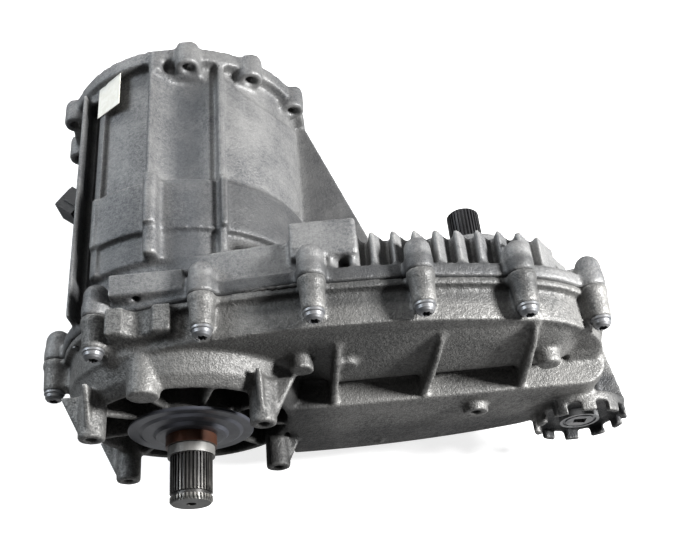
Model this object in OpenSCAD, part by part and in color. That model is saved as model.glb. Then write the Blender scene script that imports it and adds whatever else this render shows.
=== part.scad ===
// Two-speed, chain-driven transfer case in two die-cast halves.
// Frame: origin at the centre of the adapter's mounting face, +Y forward out of
// that face along the input shaft, +X towards the front output, +Z up.

/* [Layout] */
// Chain pitch
chain_pitch = 12.7; // [9:0.1:14]
// Straight links in each strand, which sets the distance between the two shafts
strand_links = 20; // [16:1:24]
// Distance from the mounting face back to the joint between the case halves
joint_depth = 258; // [257:1:275]
// Depth of the chain cover ahead of the joint
front_depth = 42; // [40:1:43]
// Depth of the upper rear wall behind the joint
rear_depth = 33; // [32:1:42]
// How much further back the lower rear wall stands
rear_step = 25; // [23:1:32]
// Height of the ledge between the upper and the lower rear wall
ledge_z = 14; // [-10:1:40]

/* [Case outline] */
// How far the joint flange stands outside the barrel
flange_over = 4; // [2:0.5:10]
// Radius of the joint flange round the front output
output_end_r = 102; // [92:0.5:112]
// Radius of the long arc that joins the two ends
side_arc_r = 600; // [450:10:900]
// Wall thickness of both castings
wall = 5; // [4:0.5:7]
// Width of the joint flange outside the wall
flange_w = 7; // [5:0.5:10]
// Thickness of the front half's joint flange
front_flange_t = 11.5; // [8:0.5:16]
// Thickness of the rear half's joint flange
rear_flange_t = 6; // [4:0.5:10]
// Rounding of the rear cover's edges
rear_round = 28; // [15:1:32]

/* [Adapter] */
// Outer radius of the adapter flange
adapter_r = 114; // [108:0.5:125]
// Thickness of the adapter flange
adapter_t = 14; // [10:0.5:20]
// Radius of the pilot bore in the adapter flange
pilot_r = 88; // [80:0.5:92]
// Radius of the adapter bolt circle
adapter_bolt_r = 112; // [106:0.5:120]
// Length of the adapter bolt bosses
adapter_boss_len = 24; // [18:1:34]
// Radius of the holes for the adapter bolts
adapter_hole_r = 5.25; // [4:0.05:7]
// Thickness of the barrel's wall outside the gear chamber
barrel_wall = 11; // [8:0.5:14]
// Distance from the annulus gear to the barrel's flat left side
flat_wall = 3; // [3:0.5:8]

/* [Case bolts] */
// Radius of the case bolt shank
bolt_r = 4; // [3:0.5:6]
// Radius of the case bolt head
bolt_head_r = 8.3; // [7:0.1:9]
// Radius of the case bolt bosses
boss_r = 11; // [9:0.5:14]
// Taper of the rear half's bosses towards the bolt heads
boss_taper = 1.6; // [0:0.1:2]
// Length of the bosses on the rear half
rear_boss_len = 27; // [20:1:30]
// Length of the bosses on the front half
front_boss_len = 30; // [24:1:40]

/* [Fins] */
// Number of cooling fins on the front half
fin_count = 12; // [6:1:14]
// Distance between the fins
fin_pitch = 16.6; // [14:0.1:16.8]
// Depth of the gaps between the fins
fin_h = 21; // [10:0.5:22]

/* [Rear output] */
// Outer radius of the rear output spline
rear_spline_r = 17.2; // [14:0.1:20]
// Number of rear output spline teeth
rear_spline_teeth = 36; // [24:1:40]
// Distance from the slinger back to the end of the rear spline
rear_spline_reach = 60; // [45:1:80]
// Radius of the slinger
slinger_r = 51.5; // [47:0.5:60]
// Clear distance from the slinger back to the lower rear wall
slinger_gap = 5; // [4:0.5:10]
// Half the distance between the rear bosses, sideways
rear_boss_x = 66; // [60:0.5:72]
// Half the distance between the rear bosses, upright
rear_boss_z = 55; // [50:0.5:60]
// Radius of the rear bosses
rear_boss_r = 10.5; // [9:0.5:13]
// Radius of the tapped holes in the rear bosses
rear_tap_r = 4.25; // [3:0.05:6]

/* [Front output] */
// Outer radius of the front output spline
front_spline_r = 14.8; // [12:0.1:18]
// Number of front output spline teeth
front_spline_teeth = 30; // [20:1:36]
// Length of the front output's housing ahead of the chain cover
snout_len = 40; // [30:1:60]
// Outer radius of the front output's housing
snout_r = 37; // [34:0.5:44]
// Length of the front output shaft ahead of its housing
stub_len = 42; // [30:1:60]

/* [Bearings and seals] */
// Outer radius of the input bearing
input_brg_r = 50; // [48:0.5:56]
// Outer radius of the rear output bearing
rear_brg_r = 36; // [34:0.5:42]
// Outer radius of the front output bearings
front_brg_r = 31; // [28:0.5:34]
// Width of the ball bearings
brg_w = 16; // [13:0.5:17]
// Radial play of a running fit
run_fit = 0.05; // [0.01:0.01:0.1]
// Gap between parts that pass each other
free_gap = 0.4; // [0.3:0.05:1]

/* [Planetary] */
// Teeth on the sun gear
sun_teeth = 34; // [34:1:34]
// Teeth on each planet
planet_teeth = 12; // [12:1:12]
// Number of planets
planet_count = 4; // [4:1:4]
// Gear module
gear_m = 2; // [1.9:0.05:2]
// Thickness of the annulus gear outside its pitch circle
ring_t = 18; // [16:0.5:20]
// Face width of the planetary gears
gear_w = 26; // [20:1:27]

/* [Clutch and shift] */
// Radius of the clutch drum
drum_r = 62.5; // [60:0.5:64]
// Travel of the range fork
shift_travel = 14; // [12:0.5:15]
// Radius of the shift rail
rail_r = 5.5; // [5.3:0.1:5.8]
// Gap between the shift rail and the annulus gear
rail_gap = 1; // [0.5:0.1:2]
// Number of friction plates
plate_count = 7; // [4:1:9]

/* [Chain] */
// Teeth on each sprocket
sprocket_teeth = 28; // [26:2:30]
// Width of the chain
chain_w = 31.5; // [28:0.5:32]

/* [Drain plug] */
// Radius of the drain plug's flange
plug_r = 17; // [14:0.5:20]
// Distance of the drain plug inside the joint flange's right end
plug_in = 24; // [18:0.5:30]
// Distance of the drain plug above the joint flange's lowest point at that end
plug_up = 53; // [46:1:58]

// Outer radius of the guard round the drain plug
guard_r = 40; // [36:0.5:42]

/* [Hidden] */

shaft_spacing = strand_links * chain_pitch;
joint_y = -joint_depth;
front_wall_y = joint_y + front_depth;
upper_rear_y = joint_y - rear_depth;
lower_rear_y = upper_rear_y - rear_step;
slinger_y = lower_rear_y - slinger_gap;
bolt_seat_y = joint_y - rear_boss_len;
snout_y = front_wall_y + snout_len;
stub_y = snout_y + stub_len;
rear_end_y = slinger_y - rear_spline_reach;
rear_boss_y = slinger_y - 20;
bulkhead_t = 20;
fine = 96;

chain_mid_y = joint_y + front_depth - wall - 3 - chain_w / 2;

// The shift rail runs outside the annulus gear, and the barrel encloses both.
ring_teeth = sun_teeth + 2 * planet_teeth;
annulus_r = gear_m * ring_teeth / 2 + ring_t;
rail_dist = annulus_r + rail_gap + rail_r;
gear_room_r = rail_dist + rail_r + 4;
barrel_r = gear_room_r + barrel_wall;
barrel_flat = annulus_r + flat_wall;
input_end_r = barrel_r + flange_over;

// The long side arcs are tangent to both end circles.
arc_x = (pow(shaft_spacing, 2) + pow(side_arc_r - input_end_r, 2)
    - pow(side_arc_r - output_end_r, 2)) / (2 * shaft_spacing);
arc_z = sqrt(pow(side_arc_r - input_end_r, 2) - pow(arc_x, 2));
touch_b = shaft_spacing + output_end_r * (shaft_spacing - arc_x) / (side_arc_r - output_end_r);
angle_a = atan2(arc_z, -arc_x);
angle_b = atan2(arc_z, shaft_spacing - arc_x);

// Height of the outline's upper edge at x.
function edge_z(x) = (x < touch_b)
    ? sqrt(pow(side_arc_r, 2) - pow(x - arc_x, 2)) - arc_z
    : sqrt(pow(output_end_r, 2) - pow(x - shaft_spacing, 2));

// Clutch and sprockets, ahead of and behind the chain's front edge.
sprocket_front_y = chain_mid_y + chain_w / 2;
sprocket_rear_y = chain_mid_y - chain_w / 2;
drum_front_y = sprocket_front_y + 37;
ramp_front_y = drum_front_y + 7.4;
pitch_r = chain_pitch / 2 / sin(180 / sprocket_teeth);
chain_out_r = pitch_r + 4.8;
// Depth of the cover under the fins, which leaves the chain its room.
bed_depth = min(fin_h + 2, output_end_r - flange_w - wall - chain_out_r - 3);

// Planetary and range shift, from the clutch forward to the adapter's cup.
carrier_plate_t = 6.5;
sleeve_clear = 1.6;
sleeve_rear_y = ramp_front_y + sleeve_clear + shift_travel;
groove_y = sleeve_rear_y + 3;
hub_rear_y = sleeve_rear_y + 14;
ring_rear_y = hub_rear_y + 5;
gear_rear_y = ring_rear_y + carrier_plate_t + 0.5;
gear_front_y = gear_rear_y + gear_w;
ring_front_y = gear_front_y + carrier_plate_t + 0.5;
sleeve_front_y = gear_rear_y + 8;
bulkhead_y = ring_front_y + 1;
cup_y = bulkhead_y + bulkhead_t;
planet_dist = gear_m * (sun_teeth + planet_teeth) / 2;
neck_r = gear_m * sun_teeth / 2 - 1.1 * gear_m - 0.3;
journal_r = 30;
sleeve_tooth_r = 22.5;
sleeve_teeth = 24;
sleeve_spline_r = 16;
sleeve_spline_teeth = 26;
shaft_r = 17;
rear_journal_r = 18;

// Rear bearing, pump and tail bearing.
rear_brg_y = lower_rear_y + 12;
housing_y = rear_brg_y + brg_w + 5;
pump_y = housing_y;
pump_len = 18;
tail_brg_r = 26;
tail_brg_y = upper_rear_y + 8;
front_brg_y = front_wall_y + 2;
pump_out_r = 44;
pickup_at = [130, -80];
magnet_at = [170, -60];
fill_at = [200, 20];
breather_at = [215, 60];

// Range rail, its rack and the pinion above it.
rail_at = [-rail_dist * cos(45), -rail_dist * sin(45)];
rail_front_y = cup_y - 3;
rail_rear_y = upper_rear_y + wall + 16;
pinion_m = 1.25;
pinion_teeth = 12;
pinion_r = pinion_m * pinion_teeth / 2;
rack_line = rail_r - 1.3;
pinion_y = sleeve_rear_y - 26;
pinion_z = rail_at[1] + rack_line + pinion_r;
rack_pitch = PI * pinion_m;
motor_z = pinion_z + 2.6;

// Case bolts along the upper edge and along the lower edge, where they clear the drain guard.
upper_bolts = [[-input_end_r - 2, 24], [-56, input_end_r - 12], [30, input_end_r + 9],
    [113, input_end_r + 19], [194, output_end_r + 19], [272, output_end_r + 1],
    [shaft_spacing + output_end_r - 22, output_end_r - 34]];
lower_bolts = [[-56, 12 - input_end_r], [30, -input_end_r - 9], [113, -input_end_r - 19],
    [190, -output_end_r - 18], [250, -output_end_r - 5],
    [shaft_spacing + output_end_r - 53, 9 - output_end_r]];
bolt_places = concat(upper_bolts, lower_bolts);
dowel_places = [[26 - input_end_r, 60], [shaft_spacing + output_end_r - 42, 26 - output_end_r]];
adapter_angles = [21, 51, 81, 154, 181, 216, 248, 282, 321];

module along(y, len) {
    translate([0, y + len, 0]) rotate([90, 0, 0]) linear_extrude(len) children();
}

module turned(y) {
    translate([0, y, 0]) rotate([-90, 0, 0]) rotate_extrude($fn = fine) children();
}

module rod(y, len, r, r2 = 0) {
    translate([0, y, 0]) rotate([-90, 0, 0])
        cylinder(r1 = r, r2 = (r2 == 0) ? r : r2, h = len, $fn = fine);
}

module at(p) {
    translate([p[0], 0, p[1]]) children();
}

module ring(y, len, r, hole) {
    difference() {
        rod(y, len, r);
        rod(y - 1, len + 2, hole);
    }
}

// The part of the outline between the lines from each shaft through its points of contact.
module between_contacts() {
    polygon([[0, 0], on_circle([0, 0], 200, angle_a), on_circle([shaft_spacing, 0], 200, angle_b),
        [shaft_spacing, 0], on_circle([shaft_spacing, 0], 200, -angle_b),
        on_circle([0, 0], 200, -angle_a)]);
}

module outline(d) {
    difference() {
        circle(r = input_end_r + d, $fn = fine);
        between_contacts();
    }
    difference() {
        translate([shaft_spacing, 0]) circle(r = output_end_r + d, $fn = fine);
        between_contacts();
    }
    intersection() {
        translate([arc_x, -arc_z]) circle(r = side_arc_r + d, $fn = fine);
        translate([arc_x, arc_z]) circle(r = side_arc_r + d, $fn = fine);
        between_contacts();
    }
}

// The joint flange with a round pad at each bolt.
module flange_2d(d) {
    outline(d);
    for (b = bolt_places) translate(b) circle(r = boss_r, $fn = fine);
}

// A cover with rounded rear edges, from y = back to y = front: a rounded disc on each shaft
// and, between the contact lines, the overlap of two large rounded discs. These lie a little
// inside, so that they meet the end discs at a clear angle.
module rounded_disc(p, r, back, front, round_r) {
    at(p) turned(back) {
        square([r - round_r, front - back]);
        translate([0, round_r]) square([r, front - back - round_r]);
        intersection() {
            translate([r - round_r, round_r]) circle(r = round_r, $fn = fine);
            square([r, round_r + 1]);
        }
    }
}

module rounded_cover(d, back, front, round_r) {
    rounded_disc([0, 0], input_end_r + d, back, front, round_r);
    rounded_disc([shaft_spacing, 0], output_end_r + d, back, front, round_r);
    intersection() {
        rounded_disc([arc_x, -arc_z], side_arc_r - 0.3 + d, back, front, round_r);
        rounded_disc([arc_x, arc_z], side_arc_r - 0.3 + d, back, front, round_r);
        along(back - 1, front - back + 2) between_contacts();
    }
}

function on_circle(centre, r, a) = [centre[0] + r * cos(a), centre[1] + r * sin(a)];

// Gears: trapezium teeth with a rounded-off tip width, on the pitch circle.
function tooth_points(z, m, add, ded, half_w, inward) =
    let (r = m * z / 2, tip = inward ? r - add : r + add, root = inward ? r + ded : r - ded)
    [for (i = [0:z - 1]) let (c = 360 * i / z)
        each [
            [root, c - half_w[1]], [r, c - half_w[0]], [tip, c - half_w[2]],
            [tip, c + half_w[2]], [r, c + half_w[0]], [root, c + half_w[1]]]];

function polar_to_xy(p) = [for (q = p) [q[0] * cos(q[1]), q[0] * sin(q[1])]];

// Half widths at pitch circle, root and tip, in degrees of the gear's own angle.
function gear_half(z) = [360 / z * 0.225, 360 / z * 0.33, 360 / z * 0.11];

module gear_2d(z, turn = 0, m = gear_m) {
    rotate(turn) polygon(polar_to_xy(tooth_points(z, m, 0.8 * m, 1.1 * m, gear_half(z), false)));
}

module ring_gear_2d(z) {
    polygon(polar_to_xy(tooth_points(z, gear_m, 0.8 * gear_m, 1.1 * gear_m, gear_half(z), true)));
}

// Splines with straight-sided teeth, grown by play for the bore that runs on them.
module spline_2d(r, n, depth, play = 0) {
    step = 360 / n;
    widen = play / r * 57.3;
    tip = step * 0.17 + widen;
    root = step * 0.29 + widen;
    polygon(polar_to_xy([for (i = [0:n - 1])
        each [[r - depth + play, i * step - root], [r + play, i * step - tip],
            [r + play, i * step + tip], [r - depth + play, i * step + root]]]));
}

// Front half: adapter barrel and finned chain cover in one casting.
module barrel_section(r, panel) {
    difference() {
        union() {
            intersection() {
                circle(r = r, $fn = fine);
                translate([-barrel_flat, -200]) square([400, 400]);
            }
            // Flat label panel, upper left, and the round rib beside it.
            rotate(37) translate([-44, 0]) square([50, r + panel]);
            translate([-11, r + 8]) circle(r = 6, $fn = 48);
            translate([-17, 0]) square([12, r + 8]);
            // Ridge between the trough and the right panel.
            rotate(-24) translate([-3, 0]) square([6, r + 9]);
        }
        translate([-150, -200]) square([150 - barrel_flat, 400]);
    }
}

module adapter_boss(a) {
    rotate([0, -a, 0]) translate([adapter_bolt_r, 0, 0]) {
        rod(-adapter_boss_len, adapter_boss_len, 11);
        translate([-24, -adapter_boss_len, -11]) cube([24, adapter_boss_len, 22]);
    }
}

// The cover's section ahead of the flange, lowered under the fins.
module finned_2d(d, edge) {
    difference() {
        outline(d);
        difference() {
            polygon([[112 - edge, 0], [112 - edge, 220], [420, 220],
                [shaft_spacing + 150, 55 - 2 * edge], [shaft_spacing, -2 * edge]]);
            outline(d - bed_depth);
        }
    }
}

module fins() {
    for (i = [0:fin_count - 1]) {
        x = 128 + i * fin_pitch;
        top = edge_z(x) - 1 - max(0, x - shaft_spacing - 36) * 1.3;
        along(joint_y + 3, front_depth - 3)
            polygon([[x - 3.5, top - fin_h - 19], [x - 2, top - 2], [x - 1, top], [x + 1.2, top],
                [x + 3, top - 3], [x + 9, top - fin_h * 0.62], [x + fin_pitch, top - fin_h - 2],
                [x + fin_pitch, top - fin_h - 19]]);
    }
}

// Bosses behind the flange's pads, with domed front ends or tapered rear ones, and a web to
// the wall.
module case_bosses(y0, y1, dome) {
    r = boss_r - 0.6;
    for (b = bolt_places) at(b)
        rotate([0, -180 - atan2(b[1], b[0] - min(max(b[0], 0), shaft_spacing)), 0]) {
            turned(y0) {
                polygon([[0, 0], [dome ? r : r - boss_taper, 0], [r, y1 - y0], [0, y1 - y0]]);
                if (dome) translate([0, y1 - y0 - 1]) intersection() {
                    translate([0, 1]) circle(r = r, $fn = fine);
                    square([r, r + 1]);
                }
            }
            translate([0, y0 + 1.5, 3 - r]) cube([24, y1 - y0 - 2.5, 2 * (r - 3)]);
        }
}

module front_case() color([0.50, 0.49, 0.47]) {
    difference() {
        union() {
            rod(-adapter_t, adapter_t, adapter_r);
            for (a = adapter_angles) adapter_boss(a);
            difference() {
                along(front_wall_y, -front_wall_y - 5) barrel_section(barrel_r, 5);
                // Concave trough along the top of the barrel.
                at([19, barrel_r + 25]) rod(front_wall_y, -front_wall_y - 26, 34);
            }
            // A raised band round the barrel and a lower one beside the chain cover.
            along(front_wall_y + 26, 48) barrel_section(barrel_r + 7, 2);
            along(front_wall_y, 27) barrel_section(barrel_r + 2, 2);
            along(joint_y + 1, front_depth - 1) finned_2d(-flange_w, 0);
            along(joint_y + 1, front_flange_t - 1.5) outline(-flange_w);
            along(joint_y, front_flange_t) flange_2d(0);
            intersection() {
                fins();
                along(joint_y, front_depth) outline(3);
            }
            case_bosses(joint_y + 1, joint_y + front_boss_len - boss_r, true);
            // Housing of the front output.
            translate([shaft_spacing, 0, 0]) {
                rod(front_wall_y - 5, snout_len + 5, snout_r);
                for (a = [30:60:330]) rotate([0, a, 0]) translate([-3, 0, 0])
                    rotate([90, 0, 90]) linear_extrude(6)
                        polygon([[front_wall_y - 2, 20], [snout_y - 8, 20],
                            [snout_y - 8, snout_r + 1], [front_wall_y - 2, snout_r + 26]]);
            }
            // Side web from the adapter flange down to the chain cover.
            translate([0, 0, -3]) linear_extrude(7)
                polygon([[60, -10], [adapter_r - 2, -10], [adapter_r + 62, front_wall_y + 35],
                    [adapter_r + 84, front_wall_y - 5], [60, front_wall_y - 5]]);
            // Block where the fins meet the barrel.
            translate([98, front_wall_y - 20, 55]) cube([52, 32, 68]);
            // Pad with two blind holes above the joint.
            translate([-42, joint_y + 8, 70]) cube([58, 20, 44]);
            // Bosses of the fill plug and the breather, on the side that faces forward.
            at(fill_at) rod(front_wall_y - 1, 5, 16);
            at(breather_at) rod(front_wall_y - 1, 4, 9);
            // Fence and channel along the left edge of the label panel.
            along(joint_y + 8, joint_depth - 30) translate([-barrel_flat - 3.5, 30])
                square([4, 58]);
        }
        front_case_cuts();
    }
}

module front_case_cuts() {
    // Chain chamber.
    along(joint_y - 1, front_depth - wall + 1) finned_2d(-flange_w - wall, wall);
    along(joint_y - 2, front_flange_t - wall) outline(-flange_w - wall);
    // Gear chamber, seat of the annulus gear and open cup.
    hollow(front_wall_y - wall - 1, ring_rear_y - 1 - front_wall_y + wall + 1, gear_room_r);
    rod(ring_rear_y - 2, bulkhead_y - ring_rear_y + 2, annulus_r);
    hollow(cup_y, 1 - cup_y, gear_room_r - 6);
    rod(-6, 7, pilot_r);
    // Fill plug and breather threads.
    at(fill_at) rod(front_wall_y - 10, 20, 9);
    at(breather_at) rod(front_wall_y - 10, 20, 3.5);
    // Input bearing and seal seats in the bulkhead.
    rod(bulkhead_y - 1, brg_w + 1, input_brg_r);
    rod(bulkhead_y - 1, bulkhead_t + 2, input_brg_r - 8);
    // Front output bearing and seal seats.
    translate([shaft_spacing, 0, 0]) {
        rod(front_wall_y - wall - 5, brg_w + wall + 7, front_brg_r);
        rod(front_wall_y - wall - 5, snout_len + 12, front_brg_r - 5);
        rod(snout_y - 9, 10, front_brg_r - 1);
    }
    for (a = adapter_angles) rotate([0, -a, 0]) translate([adapter_bolt_r, 0, 0])
        rod(-adapter_boss_len - 1, adapter_boss_len + 2, adapter_hole_r);
    for (b = bolt_places) at(b) rod(joint_y - 1, front_boss_len - boss_r, bolt_r);
    for (d = dowel_places) at(d) rod(joint_y - 1, 8, 3.5);
    // Blind holes of the pad.
    at([-22, 106]) rod(joint_y + 7, 14, 3.5);
    at([-3, 107]) rod(joint_y + 7, 14, 5);
    // Channel beside the fence.
    along(joint_y + 9, joint_depth - 35) translate([-barrel_flat, 52])
        polygon([[0, 60], [0, 4], [6, 14], [12, 26], [12, 60]]);
    // Range rail bore and the hole for the shift pinion's shaft.
    at(rail_at) rod(ring_rear_y - 3, rail_front_y + 0.5 - ring_rear_y + 3, rail_r + run_fit);
    translate([-barrel_flat - 5, pinion_y, pinion_z]) rotate([0, 90, 0])
        cylinder(r = 6 + run_fit, h = 20, $fn = fine);
}

// The space inside the barrel, flat on its left side.
module hollow(y, len, r) {
    along(y, len) intersection() {
        circle(r = r, $fn = fine);
        translate([wall - barrel_flat, -200]) square([400, 400]);
    }
}

// Rear half: chain cover, rear bearing housing, bosses and drain guard.
module gusset(x, lean) {
    translate([x, 0, 0]) rotate([0, lean, 0]) translate([-2.5, 0, 0]) rotate([90, 0, 90])
        linear_extrude(5) polygon([[upper_rear_y + 8, 93], [upper_rear_y - 1, 88],
            [upper_rear_y - 7, 80], [upper_rear_y - 12, 69], [upper_rear_y - 16, 56],
            [upper_rear_y - 19.5, 42], [upper_rear_y - 22, 28], [lower_rear_y + 2, ledge_z],
            [upper_rear_y + 8, ledge_z - 4]]);
}

module rear_case() color([0.46, 0.45, 0.43]) {
    difference() {
        union() {
            along(joint_y - rear_flange_t, rear_flange_t) flange_2d(-2);
            rounded_cover(-flange_w, upper_rear_y, joint_y - 1, rear_round);
            difference() {
                rounded_cover(-flange_w - 1, lower_rear_y, joint_y - 2, rear_round - 6);
                translate([-20, lower_rear_y - 1, ledge_z]) cube([500, rear_step + 1, 300]);
                translate([-200, lower_rear_y - 1, -200]) cube([200 + 78, rear_step + 1, 400]);
            }
            // Bell round the output.
            turned(lower_rear_y) polygon([[0, 0], [84, 0], [92, 8], [97, rear_step],
                [97, rear_depth + rear_step - 3], [0, rear_depth + rear_step - 3]]);
            for (g = [[118, 6.7], [191, 11.5], [273, 4.5]]) gusset(g[0], g[1]);
            case_bosses(bolt_seat_y, joint_y - 1, false);
            rear_bosses();
            at([-20, 84]) rod(slinger_y - 1, 40, 12.5);
            // Three blind bosses below the upper edge and one tapped boss on the lower wall.
            at([98, 62]) rod(upper_rear_y - 12, 30, 9.5);
            at([134, 58]) rod(upper_rear_y - 10, 30, 8);
            at([shaft_spacing + 40, 42]) rod(upper_rear_y - 18, 30, 9.5);
            at([238, -12]) rod(slinger_y - 2, 20, 10.5);
            // Ear with a half-round notch above the joint.
            translate([-44, joint_y - 24, 70]) cube([50, 22, 44]);
            drain_guard();
        }
        rear_case_cuts();
    }
}

module rear_bosses() {
    for (sx = [-1, 1]) for (sz = [-1, 1]) {
        at([sx * rear_boss_x, sz * rear_boss_z])
            rod(rear_boss_y, lower_rear_y - rear_boss_y + 10, rear_boss_r);
        // Thin wings that run down from each boss to the bell.
        at([sx * rear_boss_x, sz * rear_boss_z])
            for (a = [sz * 90, 90 - sx * 90]) rotate([0, -a, 0]) wing();
    }
}

module wing() {
    translate([0, 0, -2.5]) linear_extrude(5)
        polygon([[0, rear_boss_y + 4], [rear_boss_r + 1, rear_boss_y + 8],
            [rear_boss_r + 16, lower_rear_y + 12], [0, lower_rear_y + 12]]);
}

module drain_guard() {
    at(drain_at) difference() {
        union() {
            rod(slinger_y + 2, 40, plug_r + 3);
            // Wedge that slants from the joint down to the plug, and its web to the last boss.
            translate([-44, 0, 0]) rotate([90, 0, 90]) linear_extrude(62)
                polygon([[joint_y - 3, 44], [joint_y - 3, -16], [slinger_y + 10, -16],
                    [slinger_y + 5, 0], [slinger_y + 22, 26]]);
            translate([-16, 0, 0]) rotate([90, 0, 90]) linear_extrude(26)
                polygon([[joint_y - 3, 104], [joint_y - 3, 20], [slinger_y + 10, 20],
                    [bolt_seat_y + 4, 104]]);
            rod(slinger_y - 9, 17, guard_r);
        }
        rod(slinger_y - 20, 21, guard_r - 6);
        for (a = [0:36:324]) rotate([0, a, 0])
            translate([guard_r - 12, slinger_y - 10, -5.5]) cube([20, 9.5, 11]);
    }
}

module rear_case_cuts() {
    difference() {
        union() {
            rounded_cover(-flange_w - wall, upper_rear_y + wall, joint_y + 1, rear_round - wall);
            difference() {
                rounded_cover(-flange_w - wall - 1, lower_rear_y + wall, joint_y + 0.5,
                    rear_round - wall - 6);
                translate([-20, lower_rear_y - 1, ledge_z - wall]) cube([500, rear_step + 3, 300]);
                translate([-200, lower_rear_y - 1, -200]) cube([200 + 84, rear_step + 3, 400]);
            }
        }
        // Bearing housing of the rear output and of the front output's tail.
        rod(lower_rear_y - 1, housing_y - lower_rear_y + 1, rear_brg_r + 8);
        at([shaft_spacing, 0]) rod(lower_rear_y - 1, tail_brg_y + brg_w + 3 - lower_rear_y + 1,
            tail_brg_r + 4);
        // Seat of the range rail.
        at(rail_at) rod(upper_rear_y, wall + 26, rail_r + 3.5);
    }
    at(rail_at) rod(upper_rear_y + 1, wall + 26, rail_r + run_fit);
    // Seats and bores on the main shaft's axis, and the snap ring's groove.
    rod(rear_brg_y, 40, rear_brg_r);
    rod(lower_rear_y - 1, 40, rear_brg_r - 7);
    rod(rear_brg_y + brg_w + 0.2, 2, rear_brg_r + 2);
    // Recess round the rear output.
    difference() {
        rod(lower_rear_y - 1, 22, 80);
        rod(lower_rear_y - 2, 24, rear_brg_r + 8);
        for (a = [12:40:372]) rotate([0, a, 0]) translate([0, lower_rear_y - 2, -2.5])
            cube([90, 24, 5]);
        for (sx = [-1, 1]) for (sz = [-1, 1]) at([sx * rear_boss_x, sz * rear_boss_z])
            rod(lower_rear_y - 2, 24, rear_boss_r);
    }
    // Tail bearing seat of the front output.
    at([shaft_spacing, 0]) rod(tail_brg_y, 40, tail_brg_r);
    for (sx = [-1, 1]) for (sz = [-1, 1]) at([sx * rear_boss_x, sz * rear_boss_z])
        rod(rear_boss_y - 1, 26, rear_tap_r);
    at([238, -12]) rod(slinger_y - 3, 18, 4);
    for (b = bolt_places) at(b) rod(bolt_seat_y - 1, rear_boss_len + 2, bolt_r + 0.3);
    for (d = dowel_places) at(d) rod(joint_y - 7, 8, 3.5);
    // Drain plug thread and the passage from it to the chamber.
    at(drain_at) {
        rod(slinger_y - 1, 30, 11);
        translate([0, slinger_y + 24, 0]) rotate([0, -drain_angle, 0]) rotate([0, -90, 0])
            cylinder(r = 5, h = 34, $fn = 48);
    }
    at([-19, 118]) rod(joint_y - 30, 40, 12);
}
drain_at = [shaft_spacing + output_end_r - plug_in, plug_up - output_end_r];
drain_angle = atan2(drain_at[1], drain_at[0] - shaft_spacing);

// Fasteners of the two halves.
module case_bolts() color([0.70, 0.71, 0.72]) {
    for (b = bolt_places) at(b) case_bolt();
}

// Domed flange bolt with a six-lobed recess.
module case_bolt() {
    rod(bolt_seat_y, rear_boss_len + front_boss_len - boss_r - 3, bolt_r);
    difference() {
        turned(bolt_seat_y) polygon([[0, 0], [bolt_head_r, 0], [bolt_head_r, -1.8],
            [bolt_head_r - 0.9, -2.6], [bolt_head_r - 1.2, -5], [bolt_head_r - 2.4, -6.8],
            [bolt_head_r - 4.2, -7.8], [0, -8]]);
        rod(bolt_seat_y - 9, 5, 3);
        for (a = [0:60:300]) rotate([0, a, 0]) translate([3, 0, 0]) rod(bolt_seat_y - 9, 5, 1.1);
    }
}

module dowel_pins() color([0.62, 0.63, 0.64]) {
    for (d = dowel_places) at(d) rod(joint_y - 6.5, 13, 3.5);
}

// Input side: hollow shaft with the sun gear and the high-range teeth.
module input_shaft() color([0.50, 0.50, 0.50]) {
    difference() {
        union() {
            rod(cup_y, 24, 27);
            rod(bulkhead_y - 0.4, bulkhead_t + 4.4, journal_r);
            rod(gear_front_y, bulkhead_y - 0.4 - gear_front_y, neck_r);
            along(gear_rear_y, gear_w) gear_2d(sun_teeth);
        }
        // Female spline that takes the transmission's output shaft.
        along(cup_y - 2, 40) spline_2d(19, 32, 1.6);
        // High-range teeth, then the pilot bore of the main shaft.
        rod(gear_rear_y - 1, 28, 18);
        along(gear_rear_y - 1, 11)
            spline_2d(sleeve_tooth_r, sleeve_teeth, 2, run_fit);
        rod(gear_rear_y + 26, 22, 11 + run_fit);
    }
}

// Ball bearing from y forward: outer and inner race with balls between.
module ball_bearing(y, len, r_out, r_in) {
    mid = (r_out + r_in) / 2;
    gap = (r_out - r_in) * 0.15;
    ball = (r_out - r_in) * 0.3;
    difference() {
        union() {
            ring(y, len, r_out, mid + gap);
            ring(y, len, mid - gap, r_in);
        }
        turned(y) translate([mid, len / 2]) circle(r = ball, $fn = 48);
    }
    for (a = [0:40:320]) rotate([0, a, 0]) translate([mid, y + len / 2, 0])
        sphere(r = ball - 0.02, $fn = 48);
}

module input_bearing() color([0.72, 0.73, 0.74]) {
    ball_bearing(bulkhead_y, brg_w, input_brg_r, journal_r + run_fit);
}

module lip_seal(y, len, r_out, r_in) {
    turned(y) polygon([[r_in, len * 0.5], [r_in + 1.6, len], [r_out - 3, len], [r_out, len],
        [r_out, 0], [r_out - 1.6, 0], [r_out - 1.6, len - 1.6], [r_in + 3, len - 2],
        [r_in + 1.6, len * 0.3], [r_in, len * 0.3]]);
}

module input_seal() color([0.12, 0.12, 0.12]) {
    lip_seal(bulkhead_y + brg_w + 0.5, 7.5, input_brg_r - 8, journal_r + run_fit);
}

// Planetary set: the sun is on the input shaft and the ring stands still.
module annulus_gear() color([0.45, 0.45, 0.46]) {
    along(ring_rear_y, ring_front_y - ring_rear_y) difference() {
        circle(r = annulus_r, $fn = fine);
        ring_gear_2d(ring_teeth);
    }
}

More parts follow.
